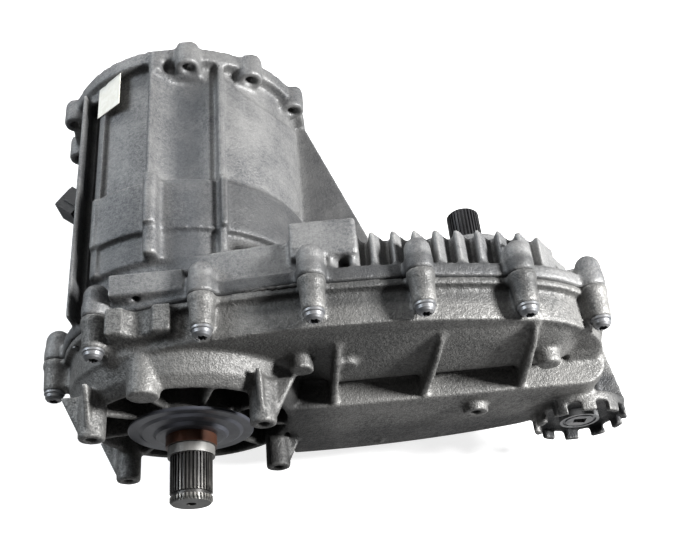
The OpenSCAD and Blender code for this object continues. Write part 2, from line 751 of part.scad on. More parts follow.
module planet_carrier() color([0.55, 0.55, 0.54]) {
    plate_r = planet_dist + 9.5;
    difference() {
        union() {
            rod(ring_front_y - carrier_plate_t, carrier_plate_t, plate_r);
            rod(ring_rear_y, carrier_plate_t, plate_r);
            rod(hub_rear_y, 6, 30);
            for (i = [0:planet_count - 1]) rotate([0, 45 + 90 * i, 0])
                translate([planet_dist, 0, 0])
                    rod(ring_rear_y + 1, ring_front_y - ring_rear_y - 2, 7);
        }
        // The front plate runs on the sun's neck, the rear one clears the range sleeve.
        rod(gear_front_y - 1, 20, neck_r + run_fit);
        along(hub_rear_y - 1, ring_rear_y + carrier_plate_t + 2 - hub_rear_y)
            spline_2d(sleeve_tooth_r + 2.5, sleeve_teeth, 2.1);
        for (i = [0:planet_count - 1]) rotate([0, 90 * i, 0]) translate([planet_dist, 0, 0])
            rod(ring_rear_y - 1, 60, 5);
    }
}

// A planet's turn so that its teeth stand between those of the sun.
function planet_turn(a) = a + 180 - (180 - a * sun_teeth) / planet_teeth;

module planet_gear(a) {
    at([planet_dist * cos(a), planet_dist * sin(a)]) difference() {
        along(gear_rear_y, gear_w) gear_2d(planet_teeth, planet_turn(a));
        rod(gear_rear_y - 1, gear_w + 2, 5 + run_fit);
    }
}

module planet_gear_1() color([0.66, 0.66, 0.65]) { planet_gear(0); }
module planet_gear_2() color([0.66, 0.66, 0.65]) { planet_gear(90); }
module planet_gear_3() color([0.66, 0.66, 0.65]) { planet_gear(180); }
module planet_gear_4() color([0.66, 0.66, 0.65]) { planet_gear(270); }

module planet_pins() color([0.74, 0.74, 0.75]) {
    for (i = [0:planet_count - 1]) rotate([0, 90 * i, 0]) translate([planet_dist, 0, 0])
        rod(ring_rear_y, ring_front_y - ring_rear_y, 5);
}

// Range sleeve: slides on the main shaft, its teeth stand in the input shaft's bore.
module range_sleeve() color([0.60, 0.60, 0.58]) {
    difference() {
        union() {
            rod(sleeve_rear_y, 3, 32);
            rod(sleeve_rear_y, 12, 24);
            rod(groove_y + 6, 3, 32);
            rod(groove_y, sleeve_front_y - groove_y - 1, 20.5);
            along(sleeve_front_y - 10, 10) spline_2d(sleeve_tooth_r, sleeve_teeth, 2);
        }
        along(sleeve_rear_y - 1, 60)
            spline_2d(sleeve_spline_r, sleeve_spline_teeth, 1.8, run_fit);
    }
}

// Fork, rail and rack move as one.
module shift_fork() color([0.60, 0.57, 0.50]) {
    reach = rail_dist;
    difference() {
        union() {
            along(groove_y + free_gap, 6 - 2 * free_gap) rotate(225) difference() {
                union() {
                    intersection() {
                        circle(r = 38, $fn = fine);
                        translate([0, -60]) square([60, 120]);
                    }
                    polygon([[30, -20], [reach, -8], [reach, 8], [30, 20]]);
                }
                circle(r = 24 + free_gap, $fn = fine);
            }
            at(rail_at) rod(sleeve_rear_y, 12, rail_r + 3);
        }
        at(rail_at) rod(sleeve_rear_y - 1, 14, rail_r);
    }
}

module shift_rail() color([0.68, 0.69, 0.70]) {
    difference() {
        at(rail_at) rod(rail_rear_y, rail_front_y - rail_rear_y, rail_r);
        at(rail_at) translate([-rail_r - 1, pinion_y - 6, rack_line + 0.8 * pinion_m])
            cube([2 * rail_r + 2, shift_travel + 12, 10]);
        // Rack gaps; one stands under the pinion.
        for (k = [-2:5]) at(rail_at) translate([-rail_r - 1, pinion_y + k * rack_pitch, 0])
            rotate([90, 0, 90]) linear_extrude(2 * rail_r + 2)
                polygon([[-1.6, rack_line + 1.4], [-0.56, rack_line - 1.4],
                    [0.56, rack_line - 1.4], [1.6, rack_line + 1.4]]);
    }
}

module shift_pinion() color([0.55, 0.55, 0.56]) {
    translate([rail_at[0] - 5, pinion_y, pinion_z]) rotate([90, 0, 90])
        linear_extrude(10) gear_2d(pinion_teeth, 0, pinion_m);
    translate([-barrel_flat - 20, pinion_y, pinion_z]) rotate([0, 90, 0])
        cylinder(r = 6, h = barrel_flat + 20 + rail_at[0] - 4, $fn = fine);
}

// Electric shift motor on the barrel's flat left side.
module left_of_wall() {
    intersection() {
        children();
        translate([-200 - barrel_flat, -300, -100]) cube([200, 300, 200]);
    }
}

module shift_motor() color([0.30, 0.30, 0.31]) {
    difference() {
        left_of_wall() union() {
            translate([-barrel_flat - 6, pinion_y - 22, motor_z - 22]) cube([16, 100, 80]);
            translate([-barrel_flat - 25, pinion_y, pinion_z]) rotate([0, 90, 0])
                cylinder(r = 25, h = 30, $fn = fine);
            translate([-barrel_flat - 21, 0, motor_z]) rod(pinion_y + 8, 87, 19);
            translate([-barrel_flat - 18, 0, motor_z]) rod(pinion_y + 60, 14, 22);
            // Rounded lugs that stand out from behind the barrel.
            translate([-barrel_flat - 10, pinion_y + 60, motor_z + 32])
                cylinder(r = 16, h = 26, $fn = fine);
            translate([-barrel_flat - 11, pinion_y + 10, motor_z + 32])
                cylinder(r = 17.5, h = 26, $fn = fine);
            // Neck of the connector.
            connector_frame() translate([0, -11, -12]) cube([12, 22, 24]);
            translate([-barrel_flat - 16, pinion_y + 68, motor_z + 4]) cube([20, 24, 44]);
        }
        translate([-barrel_flat - 21, pinion_y, pinion_z]) rotate([0, 90, 0])
            cylinder(r = 6 + run_fit, h = 30, $fn = fine);
        connector_frame() translate([12, -20, -30]) cube([60, 40, 60]);
    }
}

module connector_frame() {
    translate([-barrel_flat - 3, pinion_y + 78, motor_z + 56]) rotate([0, 0, 142]) children();
}

module shift_connector() color([0.07, 0.07, 0.08]) {
    connector_frame() difference() {
        union() {
            translate([12, -10, -10]) cube([34, 20, 20]);
            translate([24, -12, -12]) cube([20, 24, 24]);
            translate([14, -4, 10]) cube([26, 8, 3]);
        }
        translate([20, -8, -8]) cube([40, 16, 16]);
    }
}

// Main shaft: pilot, range splines, clutch and sprocket seat, rear output spline.
module main_shaft() color([0.42, 0.42, 0.43]) {
    difference() {
        union() {
            rod(sleeve_front_y, gear_rear_y + 44 - sleeve_front_y, 11);
            along(ramp_front_y - 1, sleeve_front_y + 2 - ramp_front_y)
                spline_2d(sleeve_spline_r, sleeve_spline_teeth, 1.8);
            rod(housing_y - 3, ramp_front_y - housing_y + 3, shaft_r);
            rod(slinger_y - 6, housing_y - 3 - slinger_y + 6, rear_journal_r);
            // Rust-brown collar and polished ring ahead of the spline.
            rod(slinger_y - 14, 9, 21);
            rod(slinger_y - 22, 8, 19.3);
            intersection() {
                along(rear_end_y, rear_spline_reach - 21)
                    spline_2d(rear_spline_r, rear_spline_teeth, 1.5);
                turned(rear_end_y) polygon([[0, 0], [rear_spline_r - 1.6, 0],
                    [rear_spline_r + 1, 2.6], [rear_spline_r + 1, 60], [0, 60]]);
            }
        }
        // Groove of the outer snap ring.
        ring(rear_end_y + 5, 3, 30, rear_spline_r - 2.2);
        rod(rear_end_y - 1, 9, 4);
    }
}

// Clutch: the hub turns with the main shaft, the drum with the drive sprocket.
plate_pitch = 28 / plate_count;
plate_rear_y = sprocket_front_y + 5.3;

module clutch_drum() color([0.52, 0.53, 0.55]) {
    difference() {
        union() {
            ring(sprocket_front_y + 1, 4, drum_r, 25);
            ring(sprocket_front_y + 1, 36, drum_r, drum_r - 5);
        }
        for (a = [0:30:330]) rotate([0, a, 0])
            translate([drum_r - 6, sprocket_front_y + 5, -4]) cube([10, 40, 8]);
    }
}

module clutch_hub() color([0.56, 0.56, 0.55]) {
    difference() {
        union() {
            ring(plate_rear_y + 0.3, 31, 22, shaft_r);
            ring(plate_rear_y + 13, 5, 33, 21);
            ring(plate_rear_y + 0.3, 31, 36, 32);
        }
        for (a = [0:30:330]) rotate([0, a, 0])
            translate([34, plate_rear_y - 1, -3.5]) cube([4, 40, 7]);
    }
}

module friction_plates() color([0.36, 0.28, 0.20]) {
    for (i = [0:plate_count - 1])
        along(plate_rear_y + i * plate_pitch + 0.475 * plate_pitch, 0.45 * plate_pitch)
            plate_2d(drum_r - 6.5, 36.3, 35, 6.4, 0);
}

module steel_plates() color([0.62, 0.63, 0.65]) {
    for (i = [0:plate_count - 1])
        along(plate_rear_y + i * plate_pitch, 0.4 * plate_pitch)
            plate_2d(drum_r - 5, 38, drum_r - 6, 7.4, 1);
    along(plate_rear_y + 28, 3.4) plate_2d(drum_r - 5, 38, drum_r - 6, 7.4, 1);
}

// Plate with twelve lugs, pointing outwards or inwards.
module plate_2d(r_out, r_in, lug_r, lug_w, outward) {
    difference() {
        circle(r = r_out, $fn = fine);
        circle(r = r_in, $fn = fine);
    }
    for (a = [0:30:330]) rotate(a)
        translate([outward ? lug_r : lug_r - 0.4, -lug_w / 2]) square([outward ? 5.4 : 3, lug_w]);
}

module ball_ramp() color([0.66, 0.66, 0.67]) {
    difference() {
        union() {
            ring(drum_front_y + 0.4, 2.4, 52, shaft_r);
            ring(drum_front_y + 5, 2.4, 52, shaft_r);
        }
        ramp_balls(2.8);
    }
    ramp_balls(2.75);
}

module ramp_balls(r) {
    for (a = [0:60:300]) rotate([0, a, 0]) translate([36, drum_front_y + 3.9, 0])
        sphere(r = r, $fn = 48);
}

// Silent chain sprockets: straight-sided teeth that stand in the links' crotches.
module sprocket_2d() {
    mid_r = pitch_r * cos(180 / sprocket_teeth);
    circle(r = mid_r - 9.4, $fn = fine);
    for (i = [0:sprocket_teeth - 1]) rotate((i + 0.5) * 360 / sprocket_teeth)
        polygon([[mid_r - 11, -3.7], [mid_r - 9.2, -3.6], [mid_r - 4, -1.6],
            [mid_r - 4, 1.6], [mid_r - 9.2, 3.6], [mid_r - 11, 3.7]]);
}

module sprocket(bore) {
    difference() {
        along(sprocket_rear_y + 1, chain_w - 2) sprocket_2d();
        rod(sprocket_rear_y - 1, chain_w + 2, bore);
        // Lightening recesses in both faces.
        ring(sprocket_rear_y, 7, 40, 26);
        ring(sprocket_front_y - 7, 8, 40, 30);
    }
}

module drive_sprocket() color([0.50, 0.50, 0.51]) {
    sprocket(shaft_r + run_fit);
    ring(sprocket_front_y - 1, 2, 30, shaft_r + run_fit);
}

module driven_sprocket() color([0.50, 0.50, 0.51]) {
    at([shaft_spacing, 0]) sprocket(17);
}

// Pin places of the chain: upper strand, round the output, lower strand, round the input.
half_teeth = sprocket_teeth / 2;
link_count = 2 * strand_links + sprocket_teeth;
function chain_pin(i) =
    let (k = i % link_count, b = strand_links + half_teeth, c = b + strand_links)
    k < strand_links ? [k * chain_pitch, pitch_r]
    : k < b ? on_circle([shaft_spacing, 0], pitch_r, 90 - (k - strand_links) * 360 / sprocket_teeth)
    : k < c ? [shaft_spacing - (k - b) * chain_pitch, -pitch_r]
    : on_circle([0, 0], pitch_r, 270 - (k - c) * 360 / sprocket_teeth);

// Link plate with rounded ends and two toes, in its own frame.
module link_2d() {
    h = chain_pitch / 2;
    polygon([[-h - 5, 0], [-h - 4, 3], [-h - 1.5, 4.8], [h + 1.5, 4.8], [h + 4, 3], [h + 5, 0],
        [h + 3.2, -3.2], [h + 0.9, -8.5], [h - 1.3, -8.5], [2.2, -3], [-2.2, -3],
        [1.3 - h, -8.5], [-h - 0.9, -8.5], [-h - 3.2, -3.2]]);
}

module chain() color([0.40, 0.41, 0.43]) {
    outer_w = (chain_w - 12.5) / 2;
    for (i = [0:link_count - 1]) {
        a = chain_pin(i);
        b = chain_pin(i + 1);
        turn = atan2(b[1] - a[1], b[0] - a[0]);
        if (i % 2 == 0) {
            for (y = [sprocket_rear_y, sprocket_front_y - outer_w])
                along(y, outer_w) translate((a + b) / 2) rotate(turn) link_2d();
            at(a) rod(sprocket_rear_y - 0.5, chain_w + 1, 2.2);
            at(b) rod(sprocket_rear_y - 0.5, chain_w + 1, 2.2);
        } else {
            along(chain_mid_y - 5.75, 11.5) translate((a + b) / 2) rotate(turn) difference() {
                link_2d();
                translate([chain_pitch / 2, 0]) circle(r = 2.3, $fn = 24);
                translate([-chain_pitch / 2, 0]) circle(r = 2.3, $fn = 24);
            }
        }
    }
}

// Front output: tail journal, sprocket seat, bearing journal and the spline outside.
module front_output_shaft() color([0.16, 0.16, 0.17]) {
    at([shaft_spacing, 0]) difference() {
        union() {
            rod(tail_brg_y + 0.5, sprocket_rear_y - tail_brg_y, 14);
            rod(sprocket_rear_y - 4, 5, 19);
            rod(sprocket_rear_y, chain_w + 6, 17);
            rod(front_brg_y - 6, snout_y - front_brg_y + 6, 16);
            intersection() {
                along(snout_y - 1, stub_len + 1) spline_2d(front_spline_r, front_spline_teeth, 1.4);
                turned(snout_y - 2) polygon([[0, 0], [front_spline_r + 1, 0],
                    [front_spline_r + 1, stub_len - 0.6], [front_spline_r - 1.6, stub_len + 2],
                    [0, stub_len + 2]]);
            }
        }
        rod(stub_y - 8, 9, 3.5);
    }
}

module front_bearing() color([0.72, 0.73, 0.74]) {
    at([shaft_spacing, 0]) ball_bearing(front_brg_y, brg_w, front_brg_r, 16 + run_fit);
}

module front_tail_bearing() color([0.72, 0.73, 0.74]) {
    at([shaft_spacing, 0]) ball_bearing(tail_brg_y, brg_w, tail_brg_r, 14 + run_fit);
}

module front_seal() color([0.62, 0.60, 0.55]) {
    at([shaft_spacing, 0]) lip_seal(snout_y - 9, 8.5, front_brg_r - 1, 16 + run_fit);
}

// Rear output.
module rear_bearing() color([0.72, 0.73, 0.74]) {
    ball_bearing(rear_brg_y, brg_w, rear_brg_r, rear_journal_r + run_fit);
}

module rear_snap_ring() color([0.48, 0.49, 0.50]) {
    difference() {
        ring(rear_brg_y + brg_w + 0.2, 1.8, rear_brg_r + 1.8, rear_brg_r - 2.5);
        translate([-4, rear_brg_y + brg_w - 1, 0]) cube([8, 5, 60]);
    }
}

module rear_seal() color([0.10, 0.10, 0.10]) {
    translate([0, lower_rear_y + 10, 0]) mirror([0, 1, 0])
        lip_seal(0, 10, rear_brg_r - 7, rear_journal_r + run_fit);
}

module slinger() color([0.06, 0.06, 0.06]) {
    turned(slinger_y) polygon([[rear_journal_r, -5], [26, -5], [29, -4.5], [31, -2],
        [40, -1.6], [43, 0], [slinger_r - 1, 0], [slinger_r, 0.6], [slinger_r, 2.6],
        [slinger_r - 1.6, 2.6], [slinger_r - 1.6, 1.8], [41, 1.8], [38, 0.4], [30, 0],
        [27, -2.6], [rear_journal_r, -2.6]]);
}

// Lubrication: pump round the main shaft, pickup in the sump.
module pump_body() color([0.58, 0.58, 0.57]) {
    difference() {
        rod(pump_y, pump_len, pump_out_r);
        rod(pump_y - 1, pump_len + 2, shaft_r + 0.6);
        translate([3, 0, 0]) rod(pump_y + 3, pump_len - 6, 30);
        rotate([0, -pickup_angle, 0]) translate([0, pump_y + 9, 0]) rotate([0, 90, 0])
            cylinder(r = 5, h = 60, $fn = 48);
        // Kidney-shaped outlet in the front cover.
        for (a = [130:12:178]) rotate([0, a, 0]) translate([24, 0, 0])
            rod(pump_y + pump_len - 4, 5, 3);
    }
}
pickup_angle = atan2(pickup_at[1], pickup_at[0]);
pickup_len = norm(pickup_at);

module pump_rotor() color([0.66, 0.62, 0.52]) {
    ring(pump_y + 3.4, pump_len - 6.8, 25, shaft_r);
    for (a = [0, 180]) rotate([0, a, 0]) translate([20, pump_y + pump_len / 2, 0])
        rotate([0, 90, 0]) cylinder(r = 3, h = 6.6, $fn = 48);
}

module pickup_tube() color([0.55, 0.56, 0.57]) {
    translate([0, pump_y + 9, 0]) rotate([0, -pickup_angle, 0]) rotate([0, 90, 0]) difference() {
        translate([0, 0, pump_out_r - 8]) cylinder(r = 5, h = pickup_len - pump_out_r + 4, $fn = 48);
        cylinder(r = 3.6, h = pickup_len + 20, $fn = 48);
    }
}

module pickup_screen() color([0.20, 0.22, 0.24]) {
    at(pickup_at) difference() {
        translate([-20, pump_y - 3, -18]) cube([40, 24, 26]);
        translate([-18, pump_y - 1, -20]) cube([36, 20, 26]);
        for (i = [0:5]) translate([-17 + i * 6, pump_y - 4, -14]) cube([4, 30, 16]);
        translate([0, pump_y + 9, 0]) rotate([0, -pickup_angle, 0]) rotate([0, 90, 0])
            translate([0, 0, -60]) cylinder(r = 5, h = 56, $fn = 48);
    }
}

module sump_magnet() color([0.25, 0.25, 0.26]) {
    at(magnet_at) ring(lower_rear_y + wall, 7, 10, 3);
}

// Plugs and breather.
module drain_plug() color([0.75, 0.75, 0.76]) {
    at(drain_at) difference() {
        union() {
            rod(slinger_y - 5, 6, plug_r);
            rod(slinger_y + 1, 22, 11);
        }
        translate([-5.5, slinger_y - 6, -5.5]) cube([11, 10, 11]);
        ring(slinger_y - 6, 2.2, plug_r - 2.5, plug_r - 5);
    }
}

module fill_plug() color([0.75, 0.75, 0.76]) {
    at(fill_at) {
        rod(front_wall_y - 6, 10, 9);
        rod(front_wall_y + 4, 7, 13, 12);
    }
}

module breather() color([0.30, 0.30, 0.30]) {
    at(breather_at) {
        rod(front_wall_y - 6, 9, 3.5);
        rod(front_wall_y + 3, 5, 7);
        rod(front_wall_y + 8, 4, 4);
        rod(front_wall_y + 12, 8, 8.5, 7.5);
    }
}

front_case();
rear_case();
case_bolts();
dowel_pins();
input_shaft();
input_bearing();
input_seal();
annulus_gear();
planet_carrier();
planet_gear_1();
planet_gear_2();
planet_gear_3();
planet_gear_4();
planet_pins();
range_sleeve();
shift_fork();
shift_rail();
shift_pinion();
shift_motor();
shift_connector();
main_shaft();
clutch_drum();
clutch_hub();
friction_plates();
steel_plates();
ball_ramp();
drive_sprocket();
driven_sprocket();
chain();
front_output_shaft();
front_bearing();
front_tail_bearing();
front_seal();
rear_bearing();
rear_snap_ring();
rear_seal();
slinger();
pump_body();
pump_rotor();
pickup_tube();
pickup_screen();
sump_magnet();
drain_plug();
fill_plug();
breather();
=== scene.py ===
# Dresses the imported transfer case: cast housings with fillets and skin, machined and coated
# parts, blank label, sealant bead, and a plain studio with the camera of the photograph.
import math
import random

import bpy
from mathutils import Matrix, Vector


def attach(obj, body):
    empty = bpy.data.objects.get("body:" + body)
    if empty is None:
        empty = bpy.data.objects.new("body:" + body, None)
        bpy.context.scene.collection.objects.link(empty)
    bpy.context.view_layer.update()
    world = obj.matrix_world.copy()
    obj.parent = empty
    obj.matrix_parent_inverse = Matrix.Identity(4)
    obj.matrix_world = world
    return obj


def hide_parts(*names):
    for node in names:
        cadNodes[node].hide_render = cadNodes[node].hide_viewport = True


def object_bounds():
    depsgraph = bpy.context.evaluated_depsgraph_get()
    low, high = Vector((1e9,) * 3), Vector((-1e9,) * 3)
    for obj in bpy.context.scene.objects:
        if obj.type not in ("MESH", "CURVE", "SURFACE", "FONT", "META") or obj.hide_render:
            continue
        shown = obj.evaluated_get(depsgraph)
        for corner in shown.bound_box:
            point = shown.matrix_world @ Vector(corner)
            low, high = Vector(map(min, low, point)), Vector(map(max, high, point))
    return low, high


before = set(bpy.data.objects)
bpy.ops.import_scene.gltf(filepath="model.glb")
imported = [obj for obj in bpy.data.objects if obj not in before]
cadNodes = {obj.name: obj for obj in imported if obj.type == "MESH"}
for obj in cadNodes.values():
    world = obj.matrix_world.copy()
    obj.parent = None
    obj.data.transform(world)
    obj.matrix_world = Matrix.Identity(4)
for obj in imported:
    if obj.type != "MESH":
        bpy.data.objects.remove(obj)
cadLow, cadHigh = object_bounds()
print("frame loaded:", len(cadNodes), "nodes")


def deselectAll():
    bpy.ops.object.select_all(action="DESELECT")


def pick(piece):
    deselectAll()
    piece.select_set(True)
    bpy.context.view_layer.objects.active = piece


def applyModifiers(piece, keepLast=0):
    pick(piece)
    for modifier in list(piece.modifiers)[:len(piece.modifiers) - keepLast]:
        bpy.ops.object.modifier_apply(modifier=modifier.name)


def bakePlace(piece):
    pick(piece)
    bpy.ops.object.transform_apply(location=True, rotation=True, scale=True)


# Height or offset read from a table of points, with straight lines between them.
def between(table, value):
    for (x0, y0), (x1, y1) in zip(table, table[1:]):
        if value <= x1:
            return y0 + (y1 - y0) * max(0.0, value - x0) / (x1 - x0)
    return table[-1][1]


# Small helpers for node trees. A value is a number or another node's output.
def addNode(tree, kind, **settings):
    node = tree.nodes.new(kind)
    for key, value in settings.items():
        setattr(node, key, value)
    return node


def feed(tree, socket, value):
    if isinstance(value, (int, float)):
        socket.default_value = value
    elif isinstance(value, (tuple, list)):
        socket.default_value = (*value, 1.0)
    else:
        tree.links.new(value, socket)


def mathNode(tree, operation, first, second):
    node = addNode(tree, "ShaderNodeMath", operation=operation)
    feed(tree, node.inputs[0], first)
    feed(tree, node.inputs[1], second)
    return node.outputs[0]


def rangeNode(tree, value, low, high, toLow=0.0, toHigh=1.0):
    node = addNode(tree, "ShaderNodeMapRange")
    feed(tree, node.inputs["Value"], value)
    feed(tree, node.inputs["From Min"], low)
    feed(tree, node.inputs["From Max"], high)
    feed(tree, node.inputs["To Min"], toLow)
    feed(tree, node.inputs["To Max"], toHigh)
    return node.outputs["Result"]


def noiseNode(tree, vector, scale, detail=3.0, roughness=0.6):
    node = addNode(tree, "ShaderNodeTexNoise")
    feed(tree, node.inputs["Vector"], vector)
    feed(tree, node.inputs["Scale"], scale)
    feed(tree, node.inputs["Detail"], detail)
    feed(tree, node.inputs["Roughness"], roughness)
    return node.outputs[0]


def mixColours(tree, mask, first, second):
    node = addNode(tree, "ShaderNodeMix", data_type="RGBA", blend_type="MIX")
    feed(tree, node.inputs[0], mask)
    feed(tree, node.inputs[6], first)
    feed(tree, node.inputs[7], second)
    return node.outputs[2]


def addBump(tree, shader, height, strength, distance):
    bump = addNode(tree, "ShaderNodeBump")
    feed(tree, bump.inputs["Strength"], strength)
    feed(tree, bump.inputs["Distance"], distance)
    feed(tree, bump.inputs["Height"], height)
    feed(tree, shader.inputs["Normal"], bump.outputs[0])


# Shader groups shared by several materials.
def newGroup(name, inputs, outputs):
    group = bpy.data.node_groups.new(name, "ShaderNodeTree")
    group.interface.new_socket(name="Vector", in_out="INPUT", socket_type="NodeSocketVector")
    for label, value in inputs:
        socket = group.interface.new_socket(name=label, in_out="INPUT",
                                            socket_type="NodeSocketFloat")
        socket.default_value = value
    for label in outputs:
        group.interface.new_socket(name=label, in_out="OUTPUT", socket_type="NodeSocketFloat")
    return group, group.nodes.new("NodeGroupInput"), group.nodes.new("NodeGroupOutput")


# Grit of a die-cast skin: fine speckle, pits and slow stains. A noise is detail and roughness.
skinLook = {"fineNoise": (2.0, 0.55), "coarseNoise": (2.0, 0.6), "stainNoise": (5.0, 0.62),
            "coarseShare": 0.42, "pitShare": 0.3, "speckleRange": (0.36, 0.64),
            "pitRange": (0.02, 0.32), "stainRange": (0.38, 0.64),
            "speckleHeight": 0.7, "pitHeight": 0.3}


def makeCastSkin():
    group, given, out = newGroup("castSkin", [("Grit Scale", 900.0), ("Stain Scale", 28.0)],
                                 ["Speckle", "Stain", "Height"])
    vector, grit, stain = given.outputs[0], given.outputs[1], given.outputs[2]
    coarseScale = mathNode(group, "MULTIPLY", grit, skinLook["coarseShare"])
    fine = noiseNode(group, vector, grit, *skinLook["fineNoise"])
    coarse = noiseNode(group, vector, coarseScale, *skinLook["coarseNoise"])
    mixed = mathNode(group, "ADD", mathNode(group, "MULTIPLY", fine, 0.5),
                     mathNode(group, "MULTIPLY", coarse, 0.5))
    speckle = rangeNode(group, mixed, *skinLook["speckleRange"])
    cells = addNode(group, "ShaderNodeTexVoronoi")
    feed(group, cells.inputs["Vector"], vector)
    feed(group, cells.inputs["Scale"], mathNode(group, "MULTIPLY", grit, skinLook["pitShare"]))
    pits = rangeNode(group, cells.outputs["Distance"], *skinLook["pitRange"])
    patches = rangeNode(group, noiseNode(group, vector, stain, *skinLook["stainNoise"]),
                        *skinLook["stainRange"])
    height = mathNode(group, "ADD",
                      mathNode(group, "MULTIPLY", speckle, skinLook["speckleHeight"]),
                      mathNode(group, "MULTIPLY", pits, skinLook["pitHeight"]))
    for label, value in (("Speckle", speckle), ("Stain", patches), ("Height", height)):
        feed(group, out.inputs[label], value)
    return group


# Brighter edges, partly worn metal and partly a painted highlight, and darker inner corners,
# partly soiling and partly painted shade, from the mesh's own curvature.
wearSheenShadeLook = {"breakDetail": 4.0, "breakRange": (0.3, 0.6), "cornerRange": (0.485, 0.42)}


def makeWearSheenAndShade():
    group, given, out = newGroup(
        "wearSheenAndShade", [("Edge Start", 0.52), ("Edge End", 0.6), ("Break Up", 60.0)],
        ["Edge", "Corner"])
    vector, start, end, breakUp = [given.outputs[index] for index in range(4)]
    bend = addNode(group, "ShaderNodeNewGeometry").outputs["Pointiness"]
    breaks = rangeNode(group, noiseNode(group, vector, breakUp, wearSheenShadeLook["breakDetail"]),
                       *wearSheenShadeLook["breakRange"])
    edge = mathNode(group, "MULTIPLY", rangeNode(group, bend, start, end), breaks)
    feed(group, out.inputs["Edge"], edge)
    feed(group, out.inputs["Corner"], rangeNode(group, bend, *wearSheenShadeLook["cornerRange"]))
    return group


# Fine lines of a turned or ground face, with slow tone changes.
marksLook = {"stretch": (0.05, 1.0, 0.05), "lineNoise": (3.0, 0.7), "lineRange": (0.3, 0.7),
             "cloudDetail": 4.0, "cloudRange": (0.35, 0.65)}


def makeToolMarks():
    group, given, out = newGroup("toolMarks", [("Line Scale", 700.0), ("Cloud Scale", 40.0)],
                                 ["Lines", "Clouds"])
    vector, lineScale, cloudScale = given.outputs[0], given.outputs[1], given.outputs[2]
    stretch = addNode(group, "ShaderNodeMapping")
    stretch.inputs["Scale"].default_value = marksLook["stretch"]
    feed(group, stretch.inputs["Vector"], vector)
    fine = noiseNode(group, stretch.outputs[0], lineScale, *marksLook["lineNoise"])
    lines = rangeNode(group, fine, *marksLook["lineRange"])
    slow = noiseNode(group, vector, cloudScale, marksLook["cloudDetail"])
    clouds = rangeNode(group, slow, *marksLook["cloudRange"])
    feed(group, out.inputs["Lines"], lines)
    feed(group, out.inputs["Clouds"], clouds)
    return group


castSkin, wearSheenAndShade, toolMarks = makeCastSkin(), makeWearSheenAndShade(), makeToolMarks()
print("shader groups made")


def startMaterial(name):
    material = bpy.data.materials.new(name)
    material.use_nodes = True
    tree = material.node_tree
    shader = tree.nodes["Principled BSDF"]
    place = addNode(tree, "ShaderNodeTexCoord").outputs["Object"]
    return material, tree, shader, place


def useGroup(tree, group, place, values):
    node = addNode(tree, "ShaderNodeGroup", node_tree=group)
    feed(tree, node.inputs["Vector"], place)
    for label, value in values.items():
        feed(tree, node.inputs[label], value)
    return node


# Where a patch of painted shade lies: a box in the part's frame with soft sides and a cloudy
# amount.
cloudLook = {"scale": 45.0, "detail": 4.0, "range": (0.2, 0.5), "least": 0.55}


def paintedShadeMask(tree, place, stain):
    split = addNode(tree, "ShaderNodeSeparateXYZ")
    feed(tree, split.inputs[0], place)
    clouds = noiseNode(tree, place, cloudLook["scale"], cloudLook["detail"])
    mask = rangeNode(tree, clouds, *cloudLook["range"], cloudLook["least"], 1.0)
    for axis in range(3):
        soft = stain["soft"][axis]
        for edge, inward in ((stain["low"][axis], soft), (stain["high"][axis], -soft)):
            side = rangeNode(tree, split.outputs[axis], edge - inward, edge + inward)
            mask = mathNode(tree, "MULTIPLY", mask, side)
    return mathNode(tree, "MULTIPLY", mask, stain["amount"])


# Die-cast aluminium, raw and a little dirty, with painted highlights on its edges, painted shade
# in its corners and boxes of painted shade.
castSurface = {"specular": 0.3, "roughSwing": 0.08, "bumpDistance": 0.0006}


def castMetal(name, look):
    material, tree, shader, place = startMaterial(name)
    skin = useGroup(tree, castSkin, place,
                    {"Grit Scale": look["gritScale"], "Stain Scale": look["stainScale"]})
    wearAndShading = useGroup(tree, wearSheenAndShade, place,
                    {"Edge Start": look["edgeStart"], "Edge End": look["edgeEnd"]})
    grain = mathNode(tree, "MULTIPLY", skin.outputs["Speckle"], look["speckle"])
    grimeAndShade = mathNode(tree, "MULTIPLY", wearAndShading.outputs["Corner"], look["grimeAndShade"])
    rubAndSheen = mathNode(tree, "MULTIPLY", wearAndShading.outputs["Edge"], look["rubAndSheen"])
    base = mixColours(tree, skin.outputs["Stain"], look["dark"], look["light"])
    base = mixColours(tree, grain, base, look["grain"])
    # Inner corners take a darker colour: painted shade with some soiling.
    base = mixColours(tree, grimeAndShade, base, look["dirtAndShade"])
    # Boxes of painted shade and shadow, two with some real stain as well.
    for stain in look.get("paintedShades", []):
        base = mixColours(tree, paintedShadeMask(tree, place, stain), base, stain["tint"])
    # Edges take a brighter colour: worn metal with a painted highlight.
    base = mixColours(tree, rubAndSheen, base, look["bright"])
    feed(tree, shader.inputs["Base Color"], base)
    feed(tree, shader.inputs["Metallic"], look["metallic"])
    feed(tree, shader.inputs["Specular IOR Level"], castSurface["specular"])
    swing = castSurface["roughSwing"]
    feed(tree, shader.inputs["Roughness"],
         rangeNode(tree, skin.outputs["Speckle"], 0.0, 1.0,
                   look["rough"] + swing, look["rough"] - swing))
    addBump(tree, shader, skin.outputs["Height"], look["bump"], castSurface["bumpDistance"])
    return material


# Turned, ground or coated steel, and plain mouldings. These stand where a look names no other.
plainSurface = {"lineScale": 700.0, "cloudScale": 40.0, "rubAndSheen": 0.0, "edgeStart": 0.52,
                "edgeEnd": 0.6, "breakUp": 150.0, "bump": 0.15, "bands": [],
                "bandEdge": 0.0004, "roughSwing": 0.06, "bumpDistance": 0.0002}


